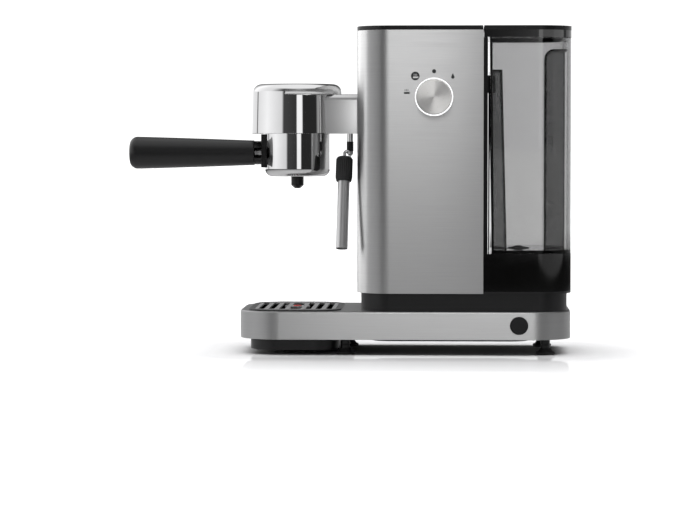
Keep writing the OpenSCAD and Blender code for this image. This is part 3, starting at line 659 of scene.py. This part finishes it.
class BuildStage(Builder, bpy.types.Operator):
    """Sets the camera, the pale floor, the soft surroundings and the lamps"""

    bl_idname = "espresso.stage"
    bl_label = "Stage"

    camera_at = (110.9, -2769, 222.2)
    camera_turn = (90 - 2.672, 0, 2.269)  # degrees about X, Y and Z
    lens = 138.86
    sensor = 36
    sight = (0.05, 100)  # metres: the nearest and furthest that the camera sees
    floor_size = 60  # metres
    foot_middle = (0.0585, 0.003, 0)  # metres: the middle of the painted shade under the machine
    foot_reach = (0.15, 0.06, 0)  # metres from there to where the floor begins to lighten
    lid_seen = (1.25, 1.25, 1.26, 1)  # the surroundings overhead, as mirrors show them
    lid_felt = (3.0, 3.0, 3.03, 1)  # and as dull surfaces are lit by them
    backdrop = (1.2, 1.2, 1.2, 1)

    def build(self):
        bpy.ops.object.camera_add(
            location=[v * MM for v in self.camera_at], rotation=[radians(v) for v in self.camera_turn]
        )
        camera = bpy.context.object
        camera.data.lens = self.lens
        camera.data.sensor_width = self.sensor
        camera.data.clip_start, camera.data.clip_end = self.sight
        bpy.context.scene.camera = camera
        bpy.context.scene.view_settings.view_transform = "Standard"
        self.floor()
        self.surroundings()
        self.lamps()

    def floor(self):
        focus(None)
        bpy.ops.mesh.primitive_plane_add(size=self.floor_size)
        floor = bpy.context.object
        floor.name = "floor"
        made = bpy.data.materials.new("White Floor")
        made.use_nodes = True
        tree = made.node_tree
        tree.nodes.clear()
        path = add(tree, "LightPath").outputs
        place = add(tree, "TexCoord").outputs["Object"]
        beside = on_vectors(tree, "SUBTRACT", place, self.foot_middle)["Vector"]
        beside = on_vectors(tree, "ABSOLUTE", beside)["Vector"]
        beside = on_vectors(tree, "SUBTRACT", beside, self.foot_reach)["Vector"]
        beside = on_vectors(tree, "MAXIMUM", beside, (0, 0, 0))["Vector"]
        away = on_vectors(tree, "LENGTH", beside)["Value"]
        glossy = path["Is Glossy Ray"]
        # Painted shade: the floor's colour is made dark under and round the machine; to glossy rays from the
        # steel it is painted greyer further off, then mirrors
        shade = mapped(tree, away, 0.0, 0.09, 0.55, 0.9)
        fade = mapped(tree, away, 0.1, 1.2, 0.5, 0.03)
        tone = add(tree, "Mix", {0: glossy, 2: shade, 3: fade}).outputs[0]
        colour = add(tree, "CombineColor", {0: tone, 1: tone, 2: tone}).outputs[0]
        dull = add(tree, "BsdfDiffuse", {"Color": colour}).outputs[0]
        mirror = add(tree, "BsdfGlossy", {"Color": (0.95, 0.95, 0.95, 1), "Roughness": 0.02}).outputs[0]
        near = mapped(tree, away, 0.02, 0.4, 0.5, 0.0)
        clear = mapped(tree, away, 0.0, 0.05, 0.0, 1.0)
        near = sums(tree, "MULTIPLY", near, clear)
        far = mapped(tree, away, 2.0, 3.5, 0.0, 1.0)
        share = add(tree, "Mix", {0: glossy, 2: near, 3: far}).outputs[0]
        seen = add(tree, "MixShader", {0: share, 1: dull, 2: mirror}).outputs[0]
        # Painted light: seen through the tank, the floor glows as an emitter
        bright = add(tree, "Emission", {"Color": (1, 1, 1, 1), "Strength": 2.2}).outputs[0]
        through = add(tree, "MixShader", {0: path["Is Transmission Ray"], 1: seen, 2: bright}).outputs[0]
        add(tree, "OutputMaterial", {"Surface": through})
        floor.data.materials.append(made)

    # How bright the surroundings are by the way one looks, as seen from the machine: degrees to the
    # right of straight ahead towards the camera, and brightness, for the level ring and above it
    level = (
        (-180, 1.1), (-123, 1.1), (-121, 0.2), (-118, 0.2), (-116, 1.1), (-80, 1.4), (-37, 1.0), (-32, 0.08),
        (1, 0.05), (2.5, 1.4), (15, 1.4), (17, 0.03), (52, 0.03), (57, 0.45), (90, 0.5), (107, 0.45),
        (109, 0.1), (112, 1.0), (180, 1.1),
    )
    raised = (
        (-180, 0.1), (-165, 0.3), (-140, 1.6), (-110, 1.3), (-97, 1.2), (-70, 1.1), (-48, 0.4), (-36, 0.1),
        (-20, 0.2), (-8, 0.4), (8, 0.4), (34, 0.2), (60, 0.2), (104, 0.2), (112, 0.1), (180, 0.1),
    )

    def ramp(self, tree, factor, stops):
        """A grey that follows (angle, brightness) stops, as a factor goes once round."""
        node = add(tree, "ValToRGB", {0: factor})
        bar = node.color_ramp.elements
        last = len(stops) - 1
        for i, (angle, bright) in enumerate(stops):
            place = angle / 360 + 0.5
            stop = bar[0] if i == 0 else bar[-1] if i == last else bar.new(place)
            stop.position = place
            stop.color = (bright, bright, bright * 1.01, 1)
        return node.outputs[0]

    def surroundings(self):
        world = bpy.data.worlds.new("Studio")
        bpy.context.scene.world = world
        world.use_nodes = True
        tree = world.node_tree
        tree.nodes.clear()
        way = add(tree, "TexCoord").outputs["Generated"]
        split = add(tree, "SeparateXYZ", {0: way}).outputs
        back = sums(tree, "MULTIPLY", split[1], -1.0)
        turn = sums(tree, "ARCTAN2", split[0], back)
        share = sums(tree, "MULTIPLY_ADD", turn, 1 / tau, 0.5)
        height = sums(tree, "ARCSINE", split[2])
        level = self.ramp(tree, share, self.level)
        raised = self.ramp(tree, share, self.raised)
        # The raised ring starts lower behind the machine than in front of it
        away = sums(tree, "ABSOLUTE", turn)
        start = mapped(tree, away, radians(104), radians(114), radians(12), radians(4))
        over = sums(tree, "SUBTRACT", height, start)
        lift = mapped(tree, over, 0.0, radians(5), 0.0, 1.0)
        sides = mix(tree, lift, level, raised)
        top = mapped(tree, height, radians(42), radians(56), 0.0, 1.0)
        path = add(tree, "LightPath").outputs
        lid = mix(tree, path["Is Diffuse Ray"], self.lid_seen, self.lid_felt)
        dome = mix(tree, top, sides, lid)
        shown = mix(tree, path["Is Camera Ray"], dome, self.backdrop)
        strength = sums(tree, "MULTIPLY_ADD", path["Is Transmission Ray"], 1.0, 1.0)
        light = add(tree, "Background", {0: shown, 1: strength})
        add(tree, "OutputWorld", {"Surface": light.outputs[0]})

    # Soft boxes: name, place and aim in millimetres, width and height in metres, watts
    boxes = (
        ("key_box", (45, -440, 370), (45, -60, 260), (0.18, 0.26), 0.46),
        ("left_box", (-846, 460, 400), (20, -40, 260), (1.2, 0.9), 7),
        ("knob_box", (150, -1500, 700), (88, -80, 259), (1.0, 0.5), 4),
        ("arm_box", (20, -160, 245), (0, -29, 245), (0.04, 0.05), 0.018),
        ("base_box", (150, -700, 260), (120, -69, 30), (0.5, 0.15), 1.7),
        ("tank_box", (1341, -1014, 860), (200, -40, 860), (3.27, 1.6), 26),
        ("dock_box", (1341, -1014, 700), (200, -40, 700), (3.27, 2.4), 16),
    )

    def lamps(self):
        for name, at, aim, size, watts in self.boxes:
            at, aim = Vector(at) * MM, Vector(aim) * MM
            bpy.ops.object.light_add(
                type="AREA", location=at, rotation=(aim - at).to_track_quat("-Z", "Y").to_euler()
            )
            lamp = bpy.context.object
            lamp.name = name
            lamp.data.shape = "RECTANGLE"
            lamp.data.size, lamp.data.size_y = size
            lamp.data.energy = watts
            lamp.visible_camera = False
            if name in LAMP_REACH:
                lamp.light_linking.receiver_collection = reach(name)


class BuildBase(Builder, bpy.types.Operator):
    """Builds the brushed steel base pan, the plinth and the four feet"""

    bl_idname = "espresso.base"
    bl_label = "Base"

    def build(self):
        low, high = BASE_LOW, BASE_HIGH
        pan = rounded_block(low, high, BASE_CORNER, lambda p: True, 28)
        edit(pan)
        pick(lambda p: p.z > high.z - 0.01)
        bevel(settings().deck_round / MM, 4)
        bpy.ops.mesh.select_mode(type="FACE")
        pick(lambda c, n: n.z < -0.9, "faces")
        bpy.ops.mesh.delete(type="FACE")
        done()
        modify(pan, "SOLIDIFY", thickness=SHEET * MM, offset=-1)
        length, width, radius = TUB
        hole = rounded_block(
            (GROUP.x - length / 2 - TUB_GAP, MIDDLE_Y - width / 2 - TUB_GAP, low.z),
            (GROUP.x + length / 2 + TUB_GAP, MIDDLE_Y + width / 2 + TUB_GAP, high.z + 1),
            radius + TUB_GAP,
            lambda p: True,
        )
        service = block(
            (SHELL_LOW.x + 40, MIDDLE_Y - 40, low.z + 5),
            (SHELL_LOW.x + 150, MIDDLE_Y + 40, high.z + 1),
        )
        x, z = BUTTON.x, BUTTON.z
        button = rod(BUTTON_HOLE_R, (x, low.y - 2, z), (x, low.y + 5, z), 64)
        gland = rod(GLAND_HOLE_R, (x, high.y - 5, z), (x, high.y + 2, z), 48)
        carve(pan, hole, service, button, gland)
        soften(pan, 0.3, 2, 50)
        sheets = ["Brushed Stainless Steel", "Brushed Stainless Deck"]
        placed(pan, "base_pressing", "machine", sheets, "brushed_steel", ["base_pan"])
        paint_faces(pan, 1, lambda c, n: abs(n.z) > 0.8)
        black = ("machine", "Satin Black ABS", "satin_black")
        softened("plinth", 0.4, "plinth_moulding", *black)
        softened("bottom_plate", 0.5, "bottom_moulding", *black)
        self.feet()

    def feet(self):
        across = (PAD_LOW.x + PAD_R, PAD_HIGH.x - PAD_R)
        spots = [(x, y) for x in across for y in (PAD_LOW.y + PAD_R, PAD_HIGH.y - PAD_R)]
        x, y = spots[0]
        pad = lathe(
            [(0, 0.4), (6.5, 0.4), (7, 0), *arc(8.7, 0.8, 0.8, -90, 0, 4), *arc(8.7, 2.2, 0.8, 0, 90, 4)]
            + [(7.7, 3.0), (5.6, PAD_HIGH.z - 0.4), (5.2, PAD_HIGH.z), (4.66, PAD_HIGH.z)]
            + [(4.66, STEM_LOW.z), (0, STEM_LOW.z)],
            (x, y, 0),
            steps=48,
        )
        stem = lathe(
            [(0, STEM_LOW.z), (4.65, STEM_LOW.z), (4.65, 9.6), (4.3, 9.9), (4.3, 10.5), (4.65, 10.8)]
            + [(4.65, STEM_HIGH.z), (0, STEM_HIGH.z)],
            (x, y, 0),
            steps=48,
        )
        for first, name, finish, slot, node in (
            (pad, "foot_pads", "Black Rubber", "black_rubber", "feet_pads"),
            (stem, "foot_stems", "Satin Black ABS", "satin_black", "feet_stems"),
        ):
            copies = [another(first, (u - x, v - y, 0)) for u, v in spots[1:]]
            placed(joined([first, *copies]), name, "machine", finish, slot, [node])


class BuildBody(Builder, bpy.types.Operator):
    """Builds the brushed steel body shell and its black top cover"""

    bl_idname = "espresso.body"
    bl_label = "Body"

    def build(self):
        low, high = SHELL_LOW, SHELL_HIGH
        shell = rounded_block(low, high, BODY_CORNER, lambda p: p.x < low.x + 1, 28)
        edit(shell, "FACE")
        pick(lambda c, n: abs(n.z) > 0.9 or n.x > 0.9, "faces")
        bpy.ops.mesh.delete(type="FACE")
        done()
        modify(shell, "SOLIDIFY", thickness=SHEET * MM, offset=-1)
        arm = arm_block(low.x - 5, low.x + 10, 0.05)
        shaft = rod(5, (KNOB.x, low.y - 2, KNOB.z), (KNOB.x, low.y + 5, KNOB.z))
        vent = rounded_vent(low.x + 50)
        vents = joined([vent, *[another(vent, (VENT_PITCH * i, 0, 0)) for i in range(1, VENTS)]])
        carve(shell, arm, shaft, vents)
        soften(shell, 0.35, 3, 50)
        placed(shell, "body_sheet", "machine", "Brushed Stainless Steel", "brushed_steel", ["body_shell"])
        softened("top_cover", 0.9, "top_moulding", "machine", "Satin Black ABS", "satin_black", 3)


def rounded_vent(x):
    """One upright vent slot through the rear of the shell, with round ends."""
    back, top = SHELL_HIGH.y, SHELL_HIGH.z
    vent = block((x, back - 5, top - 60), (x + VENT_WIDTH, back + 2, top - 25))
    edit(vent)
    pick_along("Y")
    bevel(VENT_ROUND, 6)
    return done()


def arm_block(x0, x1, grow=0.0):
    """The arm's outside between two places along X: flat below, rounded along its two top edges."""
    piece = block(
        (x0, ARM_LOW.y - grow, ARM_LOW.z - grow),
        (x1, ARM_HIGH.y + grow, ARM_HIGH.z + grow),
    )
    edit(piece)
    pick_along("X", lambda point: point.z > ARM_HIGH.z - 1)
    bevel(ARM_ROUND, 8)
    return done()


class BuildGroup(Builder, bpy.types.Operator):
    """Builds the polished group cap and the satin arm that carries it"""

    bl_idname = "espresso.group"
    bl_label = "Group"

    def build(self):
        foot, top = CAP_LOW.z, CAP_HIGH.z
        shoulder = top - CAP_FILLET
        inner = CAP_TOP_R - CAP_FILLET
        cap = lathe(
            [(0, top)]
            + arc(inner, shoulder, CAP_FILLET, 90, 0, 14)
            + [(CAP_FOOT_R, foot + 0.5), (CAP_FOOT_R - 0.5, foot), (CAP_FOOT_R - 1.1, foot)]
            + [(CAP_FOOT_R - CAP_WALL, foot + 0.5)]
            + arc(inner, shoulder, CAP_FILLET - CAP_WALL, 0, 90, 8)
            + [(0, top - CAP_WALL)],
            GROUP,
            steps=144,
        )
        carve(cap, arm_block(GROUP.x + 20, GROUP.x + 60))
        placed(cap, "polished_cap", "machine", *CHROME, ["group_cap"])

        arm = arm_block(GROUP.x + 25, ARM_HIGH.x)
        inside = block(
            (GROUP.x + 20, ARM_LOW.y + 2, ARM_LOW.z + 2), (ARM_HIGH.x + 5, ARM_HIGH.y - 2, ARM_HIGH.z - 2)
        )
        core = rod(CAP_SEAT_R, (GROUP.x, GROUP.y, ARM_LOW.z - 5), (GROUP.x, GROUP.y, ARM_HIGH.z + 12), 144)
        x, y = WAND_BALL.x, WAND_BALL.y
        tube = rod(3.2, (x, y, ARM_LOW.z - 2), (x, y, ARM_LOW.z + 5), 48)
        carve(arm, inside, core, tube)
        soften(arm, 0.4, 2, 50)
        half_turn = 34  # degrees of the cap's round that the fillet follows, each way
        fillet = lathe(
            [(CAP_TOP_R - 0.2, ARM_HIGH.z - 0.5), (CAP_TOP_R + 4.2, ARM_HIGH.z - 0.5)]
            + arc(CAP_TOP_R + 4.2, ARM_HIGH.z + 4.4, 4.3, -90, -172, 8)
            + [(CAP_TOP_R - 0.2, ARM_HIGH.z + 5), (CAP_TOP_R - 0.2, ARM_HIGH.z - 0.5)],
            GROUP,
            turn=2 * half_turn,
            start=-half_turn,
        )
        edit(fillet, "EDGE")
        bpy.ops.mesh.select_non_manifold()
        bpy.ops.mesh.edge_face_add()
        tidy_mesh()
        done()
        placed(joined([arm, fillet]), "satin_arm", "machine", "Satin Steel", "satin_steel", ["arm_housing"])


class BuildPortafilter(Builder, bpy.types.Operator):
    """Builds the chrome bowl, the spout, the collar, the stud and the tapered handle"""

    bl_idname = "espresso.portafilter"
    bl_label = "Portafilter"

    def build(self):
        z0, z1 = BOWL_LOW.z, BOWL_HIGH.z
        inner = BOWL_R - BOWL_FILLET
        bowl = lathe(
            [(4.05, z0 + BOWL_WALL), (4.05, z0)]
            + arc(inner, z0 + BOWL_FILLET, BOWL_FILLET, -90, 0, 12)
            + [(BOWL_R, z1 - 0.5), (BOWL_R - 0.5, z1), (BOWL_R - BOWL_WALL + 0.5, z1)]
            + [(BOWL_R - BOWL_WALL, z1 - 0.5)]
            + arc(inner, z0 + BOWL_FILLET, BOWL_FILLET - BOWL_WALL, 0, -90, 8)
            + [(4.05, z0 + BOWL_WALL)],
            GROUP,
            steps=128,
        )
        lug_z = CAP_LOW.z + 3.4
        r0, r1, lug_top = BOWL_R - 0.5, BOWL_R + 4.1, lug_z + 3
        lugs = lathe([(r0, lug_z), (r1, lug_z), (r1, lug_top), (r0, lug_top), (r0, lug_z)], GROUP)
        carve(
            lugs,
            block((GROUP.x - 9, GROUP.y - 50, lug_z - 1), (GROUP.x + 9, GROUP.y + 50, lug_z + 4)),
            operation="INTERSECT",
        )
        soften(lugs, 0.4)
        carve(bowl, lugs, operation="UNION")
        carve(bowl, rod(4.95, (GROUP.x - 50, GROUP.y, HANDLE_Z), (GROUP.x, GROUP.y, HANDLE_Z)))
        placed(bowl, "chrome_bowl", "portafilter", *CHROME, ["portafilter_bowl"])

        bottom = SPOUT_LOW.z
        spout = lathe(
            [(2, bottom), (2.6, bottom), (2.9, bottom + 0.25), (6.2, bottom + 3), (6.45, bottom + 3.4)]
            + [(6.45, z0 - 0.6), (6.2, z0 - 0.05), (4, z0 - 0.05), (4, SPOUT_HIGH.z)]
            + [(2, SPOUT_HIGH.z), (2, bottom)],
            GROUP,
            steps=64,
        )
        placed(spout, "coffee_spout", "portafilter", "Moulded Nylon", "satin_black", ["spout"])
        softened("handle_collar", 0.6, "neck_collar", "portafilter", "Moulded Nylon", "handle_black", 3)
        self.stud()
        self.handle()

    def stud(self):
        x0, x1 = HANDLE_HIGH.x, GROUP.x - BOWL_R - 0.1
        r = 5.95
        stud = lathe(
            [(0, STUD_LOW.x), (4.4, STUD_LOW.x), (4.9, STUD_LOW.x + 0.5), (4.9, x0), (r - 0.4, x0)]
            + [(r, x0 + 0.4), (r, x0 + 1.5), (r - 0.7, x0 + 2.1), (r - 0.7, x0 + 3.1), (r, x0 + 3.7)]
            + [(r, x1), (4.9, x1), (4.9, STUD_HIGH.x), (0, STUD_HIGH.x)],
            (0, GROUP.y, HANDLE_Z),
            "X",
            steps=64,
        )
        placed(stud, "chrome_stud", "portafilter", "Satin Steel", "satin_steel", ["handle_stud"])

    def handle(self):
        end, neck = HANDLE_LOW.x, HANDLE_HIGH.x
        r0, r1, fillet = 12.65, 16.5, 8  # at the neck, at the end, and round the end's rim
        bore, depth = 4.95, 53
        swell = [
            (r1 - (r1 - r0) * (t / 10) ** 1.15, end + fillet + (neck - 0.8 - end - fillet) * t / 10)
            for t in range(11)
        ]
        section = (
            [(0, end), (3, end)]
            + arc(r1 - fillet, end + fillet, fillet, -90, 0, 14)
            + swell[1:]
            + [(r0 - 0.8, neck), (bore, neck), (bore, neck - depth), (0, neck - depth)]
        )
        handle = lathe(section, (0, GROUP.y, HANDLE_Z), "X", steps=96)
        placed(handle, "tapered_handle", "portafilter", "Moulded Nylon", "handle_black", ["handle"])


class BuildWand(Builder, bpy.types.Operator):
    """Builds the steam wand: its tube, collar, bent pipe, ribbed grip, sleeve and nozzle"""

    bl_idname = "espresso.wand"
    bl_label = "Steam wand"

    def lean(self, piece):
        """Turns a piece made upright about the ball into the wand's own leaning place."""
        turn = Matrix.Rotation(radians(WAND_SIDE), 4, "Y") @ Matrix.Rotation(radians(-WAND_LEAN), 4, "X")
        piece.data.transform(Matrix.Translation(WAND_BALL * MM) @ turn)
        return piece

    def build(self):
        x, y = WAND_BALL.x, WAND_BALL.y
        tube = lathe(
            [(1.4, TUBE_LOW.z), (2.9, TUBE_LOW.z), (2.9, TUBE_HIGH.z), (1.4, TUBE_HIGH.z)]
            + [(1.4, TUBE_LOW.z)],
            (x, y, 0),
            steps=48,
        )
        placed(tube, "upper_tube", "wand_swivel", *CHROME, ["wand_tube"])
        softened("wand_collar", 0.35, "swivel_collar", "wand_swivel", "Moulded Nylon", "satin_black")
        self.pipe()
        self.grip()
        self.sleeve()

    def pipe(self):
        ball = lathe(arc(0, 0, BALL_R, -90, 90, 24), (0, 0, 0), steps=48)
        neck = rod(PIPE_R, (0, 0, -BALL_R), (0, -PIPE_FORWARD, -BALL_R), 32)
        elbow = lathe(arc(0, -BALL_R, PIPE_R * 1.04, -90, 90, 16), (0, -PIPE_FORWARD, 0), steps=32)
        focus(None)
        bpy.ops.mesh.primitive_circle_add(
            vertices=32,
            radius=PIPE_R * MM,
            fill_type="NOTHING",
            location=(0, -PIPE_FORWARD * MM, -BALL_R * MM),
        )
        bpy.ops.object.transform_apply(location=True, rotation=True, scale=True)
        edit(bpy.context.object, "VERT")
        bpy.ops.mesh.select_all(action="SELECT")
        bpy.ops.mesh.spin(
            steps=20, angle=pi, center=(-PIPE_BEND * MM, -PIPE_FORWARD * MM, -BALL_R * MM), axis=(0, 1, 0)
        )
        down = (0, 0, (SLEEVE_END + 6 + BALL_R) * MM)
        bpy.ops.mesh.extrude_region_move(TRANSFORM_OT_translate={"value": down})
        bpy.ops.mesh.select_all(action="DESELECT")
        bpy.ops.mesh.select_non_manifold()
        bpy.ops.mesh.edge_face_add()
        tidy_mesh()
        bend = done()
        piece = self.lean(joined([ball, neck, elbow, bend]))
        placed(piece, "bent_pipe", "wand", *CHROME, ["wand_pipe"])
        nozzle = lathe(
            [(1.4, SLEEVE_END + 2), (3.9, SLEEVE_END + 2), (4.6, SLEEVE_END + 2.7), (4.6, SLEEVE_END + 6)]
            + [(1.4, SLEEVE_END + 6), (1.4, SLEEVE_END + 2)],
            SLEEVE_AXIS,
            steps=48,
        )
        placed(self.lean(nozzle), "steam_nozzle", "wand", "Moulded Nylon", "satin_black", ["wand_tip"])

    def grip(self):
        ribs = 26
        at = SLEEVE_AXIS
        r, z0, z1 = GRIP_R, GRIP_END, GRIP_TOP
        mouth = SLEEVE_R + 0.08
        section = (
            [(mouth, z0), (r - 1.3, z0), (r - 0.9, z0 + 0.3), (r - 0.2, z0 + 3)]
            + [(r, z0 + 4.5), (r, (z0 + z1) / 2), (r, z1 - 5)]
            + arc(r - 4, z1 - 4, 4, 0, 90, 8)
            + [(PIPE_R + 0.03, z1), (PIPE_R + 0.03, z0 + 9), (mouth, z0 + 9), (mouth, z0)]
        )
        grip = lathe(section, at, steps=2 * ribs)
        edit(grip, "VERT")
        step = tau / (2 * ribs)

        def groove(p):
            turn = atan2(p.y - at[1], p.x - at[0]) / step
            radius = Vector((p.x - at[0], p.y - at[1])).length
            return round(turn) % 2 == 0 and radius > r - 0.1 and z0 + 3.5 < p.z < z1 - 3.9

        pick(groove, "verts")
        bpy.ops.transform.resize(value=(0.93, 0.93, 1), center_override=(at[0] * MM, at[1] * MM, 0))
        done()
        placed(self.lean(grip), "ribbed_grip", "wand", "Black Rubber", "black_rubber", ["wand_grip"])

    def sleeve(self):
        at = SLEEVE_AXIS
        r, z0, z1 = SLEEVE_R, SLEEVE_END, SLEEVE_TOP
        section = [(r - 0.6, z0 + 0.2), (r - 0.3, z0), (r, z0 + 0.3), (r, z1), (r - 0.6, z1)]
        sleeve = self.lean(lathe([*section, section[0]], at, steps=72))
        finish = ("Drawn Steel Tube", "satin_steel")
        placed(sleeve, "wand_sleeve_tube", "wand_sleeve", *finish, ["wand_sleeve"])


class BuildControls(Builder, bpy.types.Operator):
    """Builds the knob with its turned face, the light ring and the power button"""

    bl_idname = "espresso.controls"
    bl_label = "Controls"

    def build(self):
        front, r = KNOB_LOW.y, (KNOB_HIGH.x - KNOB_LOW.x) / 2
        back = KNOB_HIGH.y
        cap = lathe(
            [(0, front), (r - 1.0, front), *arc(r - 0.7, front + 0.7, 0.7, -90, 0, 5)]
            + [(r, back - 0.3), (r - 0.3, back), (r - 0.8, back), (r - 0.8, front + 0.9)]
            + [(0, front + 0.9)],
            KNOB,
            "Y",
            steps=128,
        )
        placed(cap, "turned_knob_cap", "knob", "Spun Aluminium", "spun_aluminium", ["knob_cap"])
        softened("knob_core", 0.3, "knob_hub", "knob", "Grey Nylon", "grey_plastic")

        y0, y1 = RING_LOW.y, RING_HIGH.y
        outer = (RING_HIGH.x - RING_LOW.x) / 2
        ring = lathe(
            [(13, y1), (13, y0 + 0.2), (outer - 0.5, y0), (outer - 0.15, y0 + 0.15)]
            + [(outer, y0 + 0.5), (outer, y1), (13, y1)],
            KNOB,
            "Y",
            steps=128,
        )
        placed(ring, "glowing_ring", "machine", "Lit Opal Acrylic", "ring_white", ["light_ring"])

        y0, y1 = BUTTON_LOW.y, BUTTON_HIGH.y
        r = (BUTTON_HIGH.x - BUTTON_LOW.x) / 2
        button = lathe(
            [(0, y0 + 0.25), (r - 2.6, y0 + 0.15), (r - 1.9, y0), (r - 0.6, y0), (r - 0.15, y0 + 0.2)]
            + [(r, y0 + 0.6), (r, y0 + 9.6), (2.5, y0 + 9.6), (2.5, y1), (0, y1)],
            BUTTON,
            "Y",
            steps=96,
        )
        placed(button, "round_button", "power_button", "Mesh Weave", "satin_black", ["power_button"])


class BuildTray(Builder, bpy.types.Operator):
    """Builds the drip tray, its frame, the slatted grille and the red float"""

    bl_idname = "espresso.tray"
    bl_label = "Drip tray"

    def build(self):
        softened("drip_tray", 0.35, "tray_tub", "drip_tray", "Satin Black ABS", "satin_black", 3)
        softened("grille_frame", 0.6, "tray_frame", "grille", "Satin Black ABS", "satin_black", 3)
        softened("drip_grille", 0.35, "slatted_grille", "grille", "Smoked Steel", "brushed_steel", 3)
        low, high = FLOAT_LOW.z, FLOAT_HIGH.z
        r = 4.3
        red = lathe(
            [(0, low), (2, low), (2, low + 1), (9.6, low + 1), (10, low + 1.4), (10, 21.6), (9.6, 22)]
            + [(r, 22), (r, high - 0.8), *arc(r - 0.7, high - 0.7, 0.7, 0, 90, 5)]
            + [(1.8, high), (1.2, high - 0.5), (0, high - 0.6)],
            GROUP,
            steps=64,
        )
        placed(red, "red_float", "tray_float", "Red Polypropylene", "float_red", ["tray_float"])


class BuildTank(Builder, bpy.types.Operator):
    """Builds the smoked water tank with its rim and lid, and the dock under it"""

    bl_idname = "espresso.tank"
    bl_label = "Water tank"

    def build(self):
        gloss, satin = ("Gloss Black ABS", "gloss_black", 3), ("Satin Black ABS", "satin_black", 3)
        softened("tank_dock", 0.5, "tank_dock_moulding", "machine", *gloss)
        softened("tank_body", 0.6, "smoked_tank", "tank", "Smoked SAN", "smoked_clear", 3)
        softened("tank_rim", 0.35, "tank_rim_moulding", "tank", *gloss)
        softened("tank_lid", 0.6, "tank_lid_moulding", "tank_lid", *satin)


NODE_FINISHES = {
    "body_floor": "Satin Black ABS",
    "bulkhead": "Gloss Black ABS",
    "dock_seal": "Red Silicone",
    "group_head": "Cast Aluminium",
    "group_gasket": "Red Silicone",
    "shower_screen": "Satin Steel",
    "thermoblock": "Cast Aluminium",
    "thermostats": "White Acetal",
    "pump": "Orange Nylon",
    "pump_mounts": "Black Rubber",
    "steam_valve": "Grey Nylon",
    "control_board": "Solder Resist",
    "selector_switch": "Grey Nylon",
    "panel_icons": "Screen Ink",
    "power_switch": "Grey Nylon",
    "mains_gland": "Black Rubber",
    "inlet_hose": "Silicone Hose",
    "pressure_hose": "Silicone Hose",
    "group_pipe": "Drawn Copper",
    "steam_pipe": "Drawn Copper",
    "screws": "Zinc Plated Steel",
    "filter_basket": "Satin Steel",
    "basket_ring": "Zinc Plated Steel",
    "tank_valve": "Grey Nylon",
    "valve_poppet": "White Acetal",
    "tank_filter": "Grey Nylon",
    "lid_pin": "Zinc Plated Steel",
}


class BuildInside(Builder, bpy.types.Operator):
    """Paints the working parts inside the machine, whose shapes are right as they are"""

    bl_idname = "espresso.inside"
    bl_label = "Inner parts"

    def build(self):
        for node, finish in NODE_FINISHES.items():
            piece = frame["nodes"][node]
            piece.data.materials.clear()
            piece.data.materials.append(material(finish))


BUILDERS = (
    BuildStage,
    BuildBase,
    BuildBody,
    BuildGroup,
    BuildPortafilter,
    BuildWand,
    BuildControls,
    BuildTray,
    BuildTank,
    BuildInside,
)


class EspressoPanel(bpy.types.Panel):
    """Lists the builders in the sidebar"""

    bl_idname = "VIEW3D_PT_espresso"
    bl_label = "Espresso machine"
    bl_space_type = "VIEW_3D"
    bl_region_type = "UI"
    bl_category = "Espresso"

    def draw(self, context):
        for name in MachineSettings.__annotations__:
            self.layout.prop(context.scene.machine_settings, name)
        for builder in BUILDERS:
            self.layout.operator(builder.bl_idname)


def register():
    for kind in (MachineSettings, *BUILDERS, EspressoPanel):
        bpy.utils.register_class(kind)
    bpy.types.Scene.machine_settings = PointerProperty(type=MachineSettings)


def unregister():
    del bpy.types.Scene.machine_settings
    for kind in (EspressoPanel, *reversed(BUILDERS), MachineSettings):
        bpy.utils.unregister_class(kind)


def main():
    """Registers the add-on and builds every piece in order."""
    register()
    bpy.ops.espresso.stage()
    bpy.ops.espresso.base()
    bpy.ops.espresso.body()
    bpy.ops.espresso.group()
    bpy.ops.espresso.portafilter()
    bpy.ops.espresso.wand()
    bpy.ops.espresso.controls()
    bpy.ops.espresso.tray()
    bpy.ops.espresso.tank()
    bpy.ops.espresso.inside()


if __name__ == "__main__":
    main()
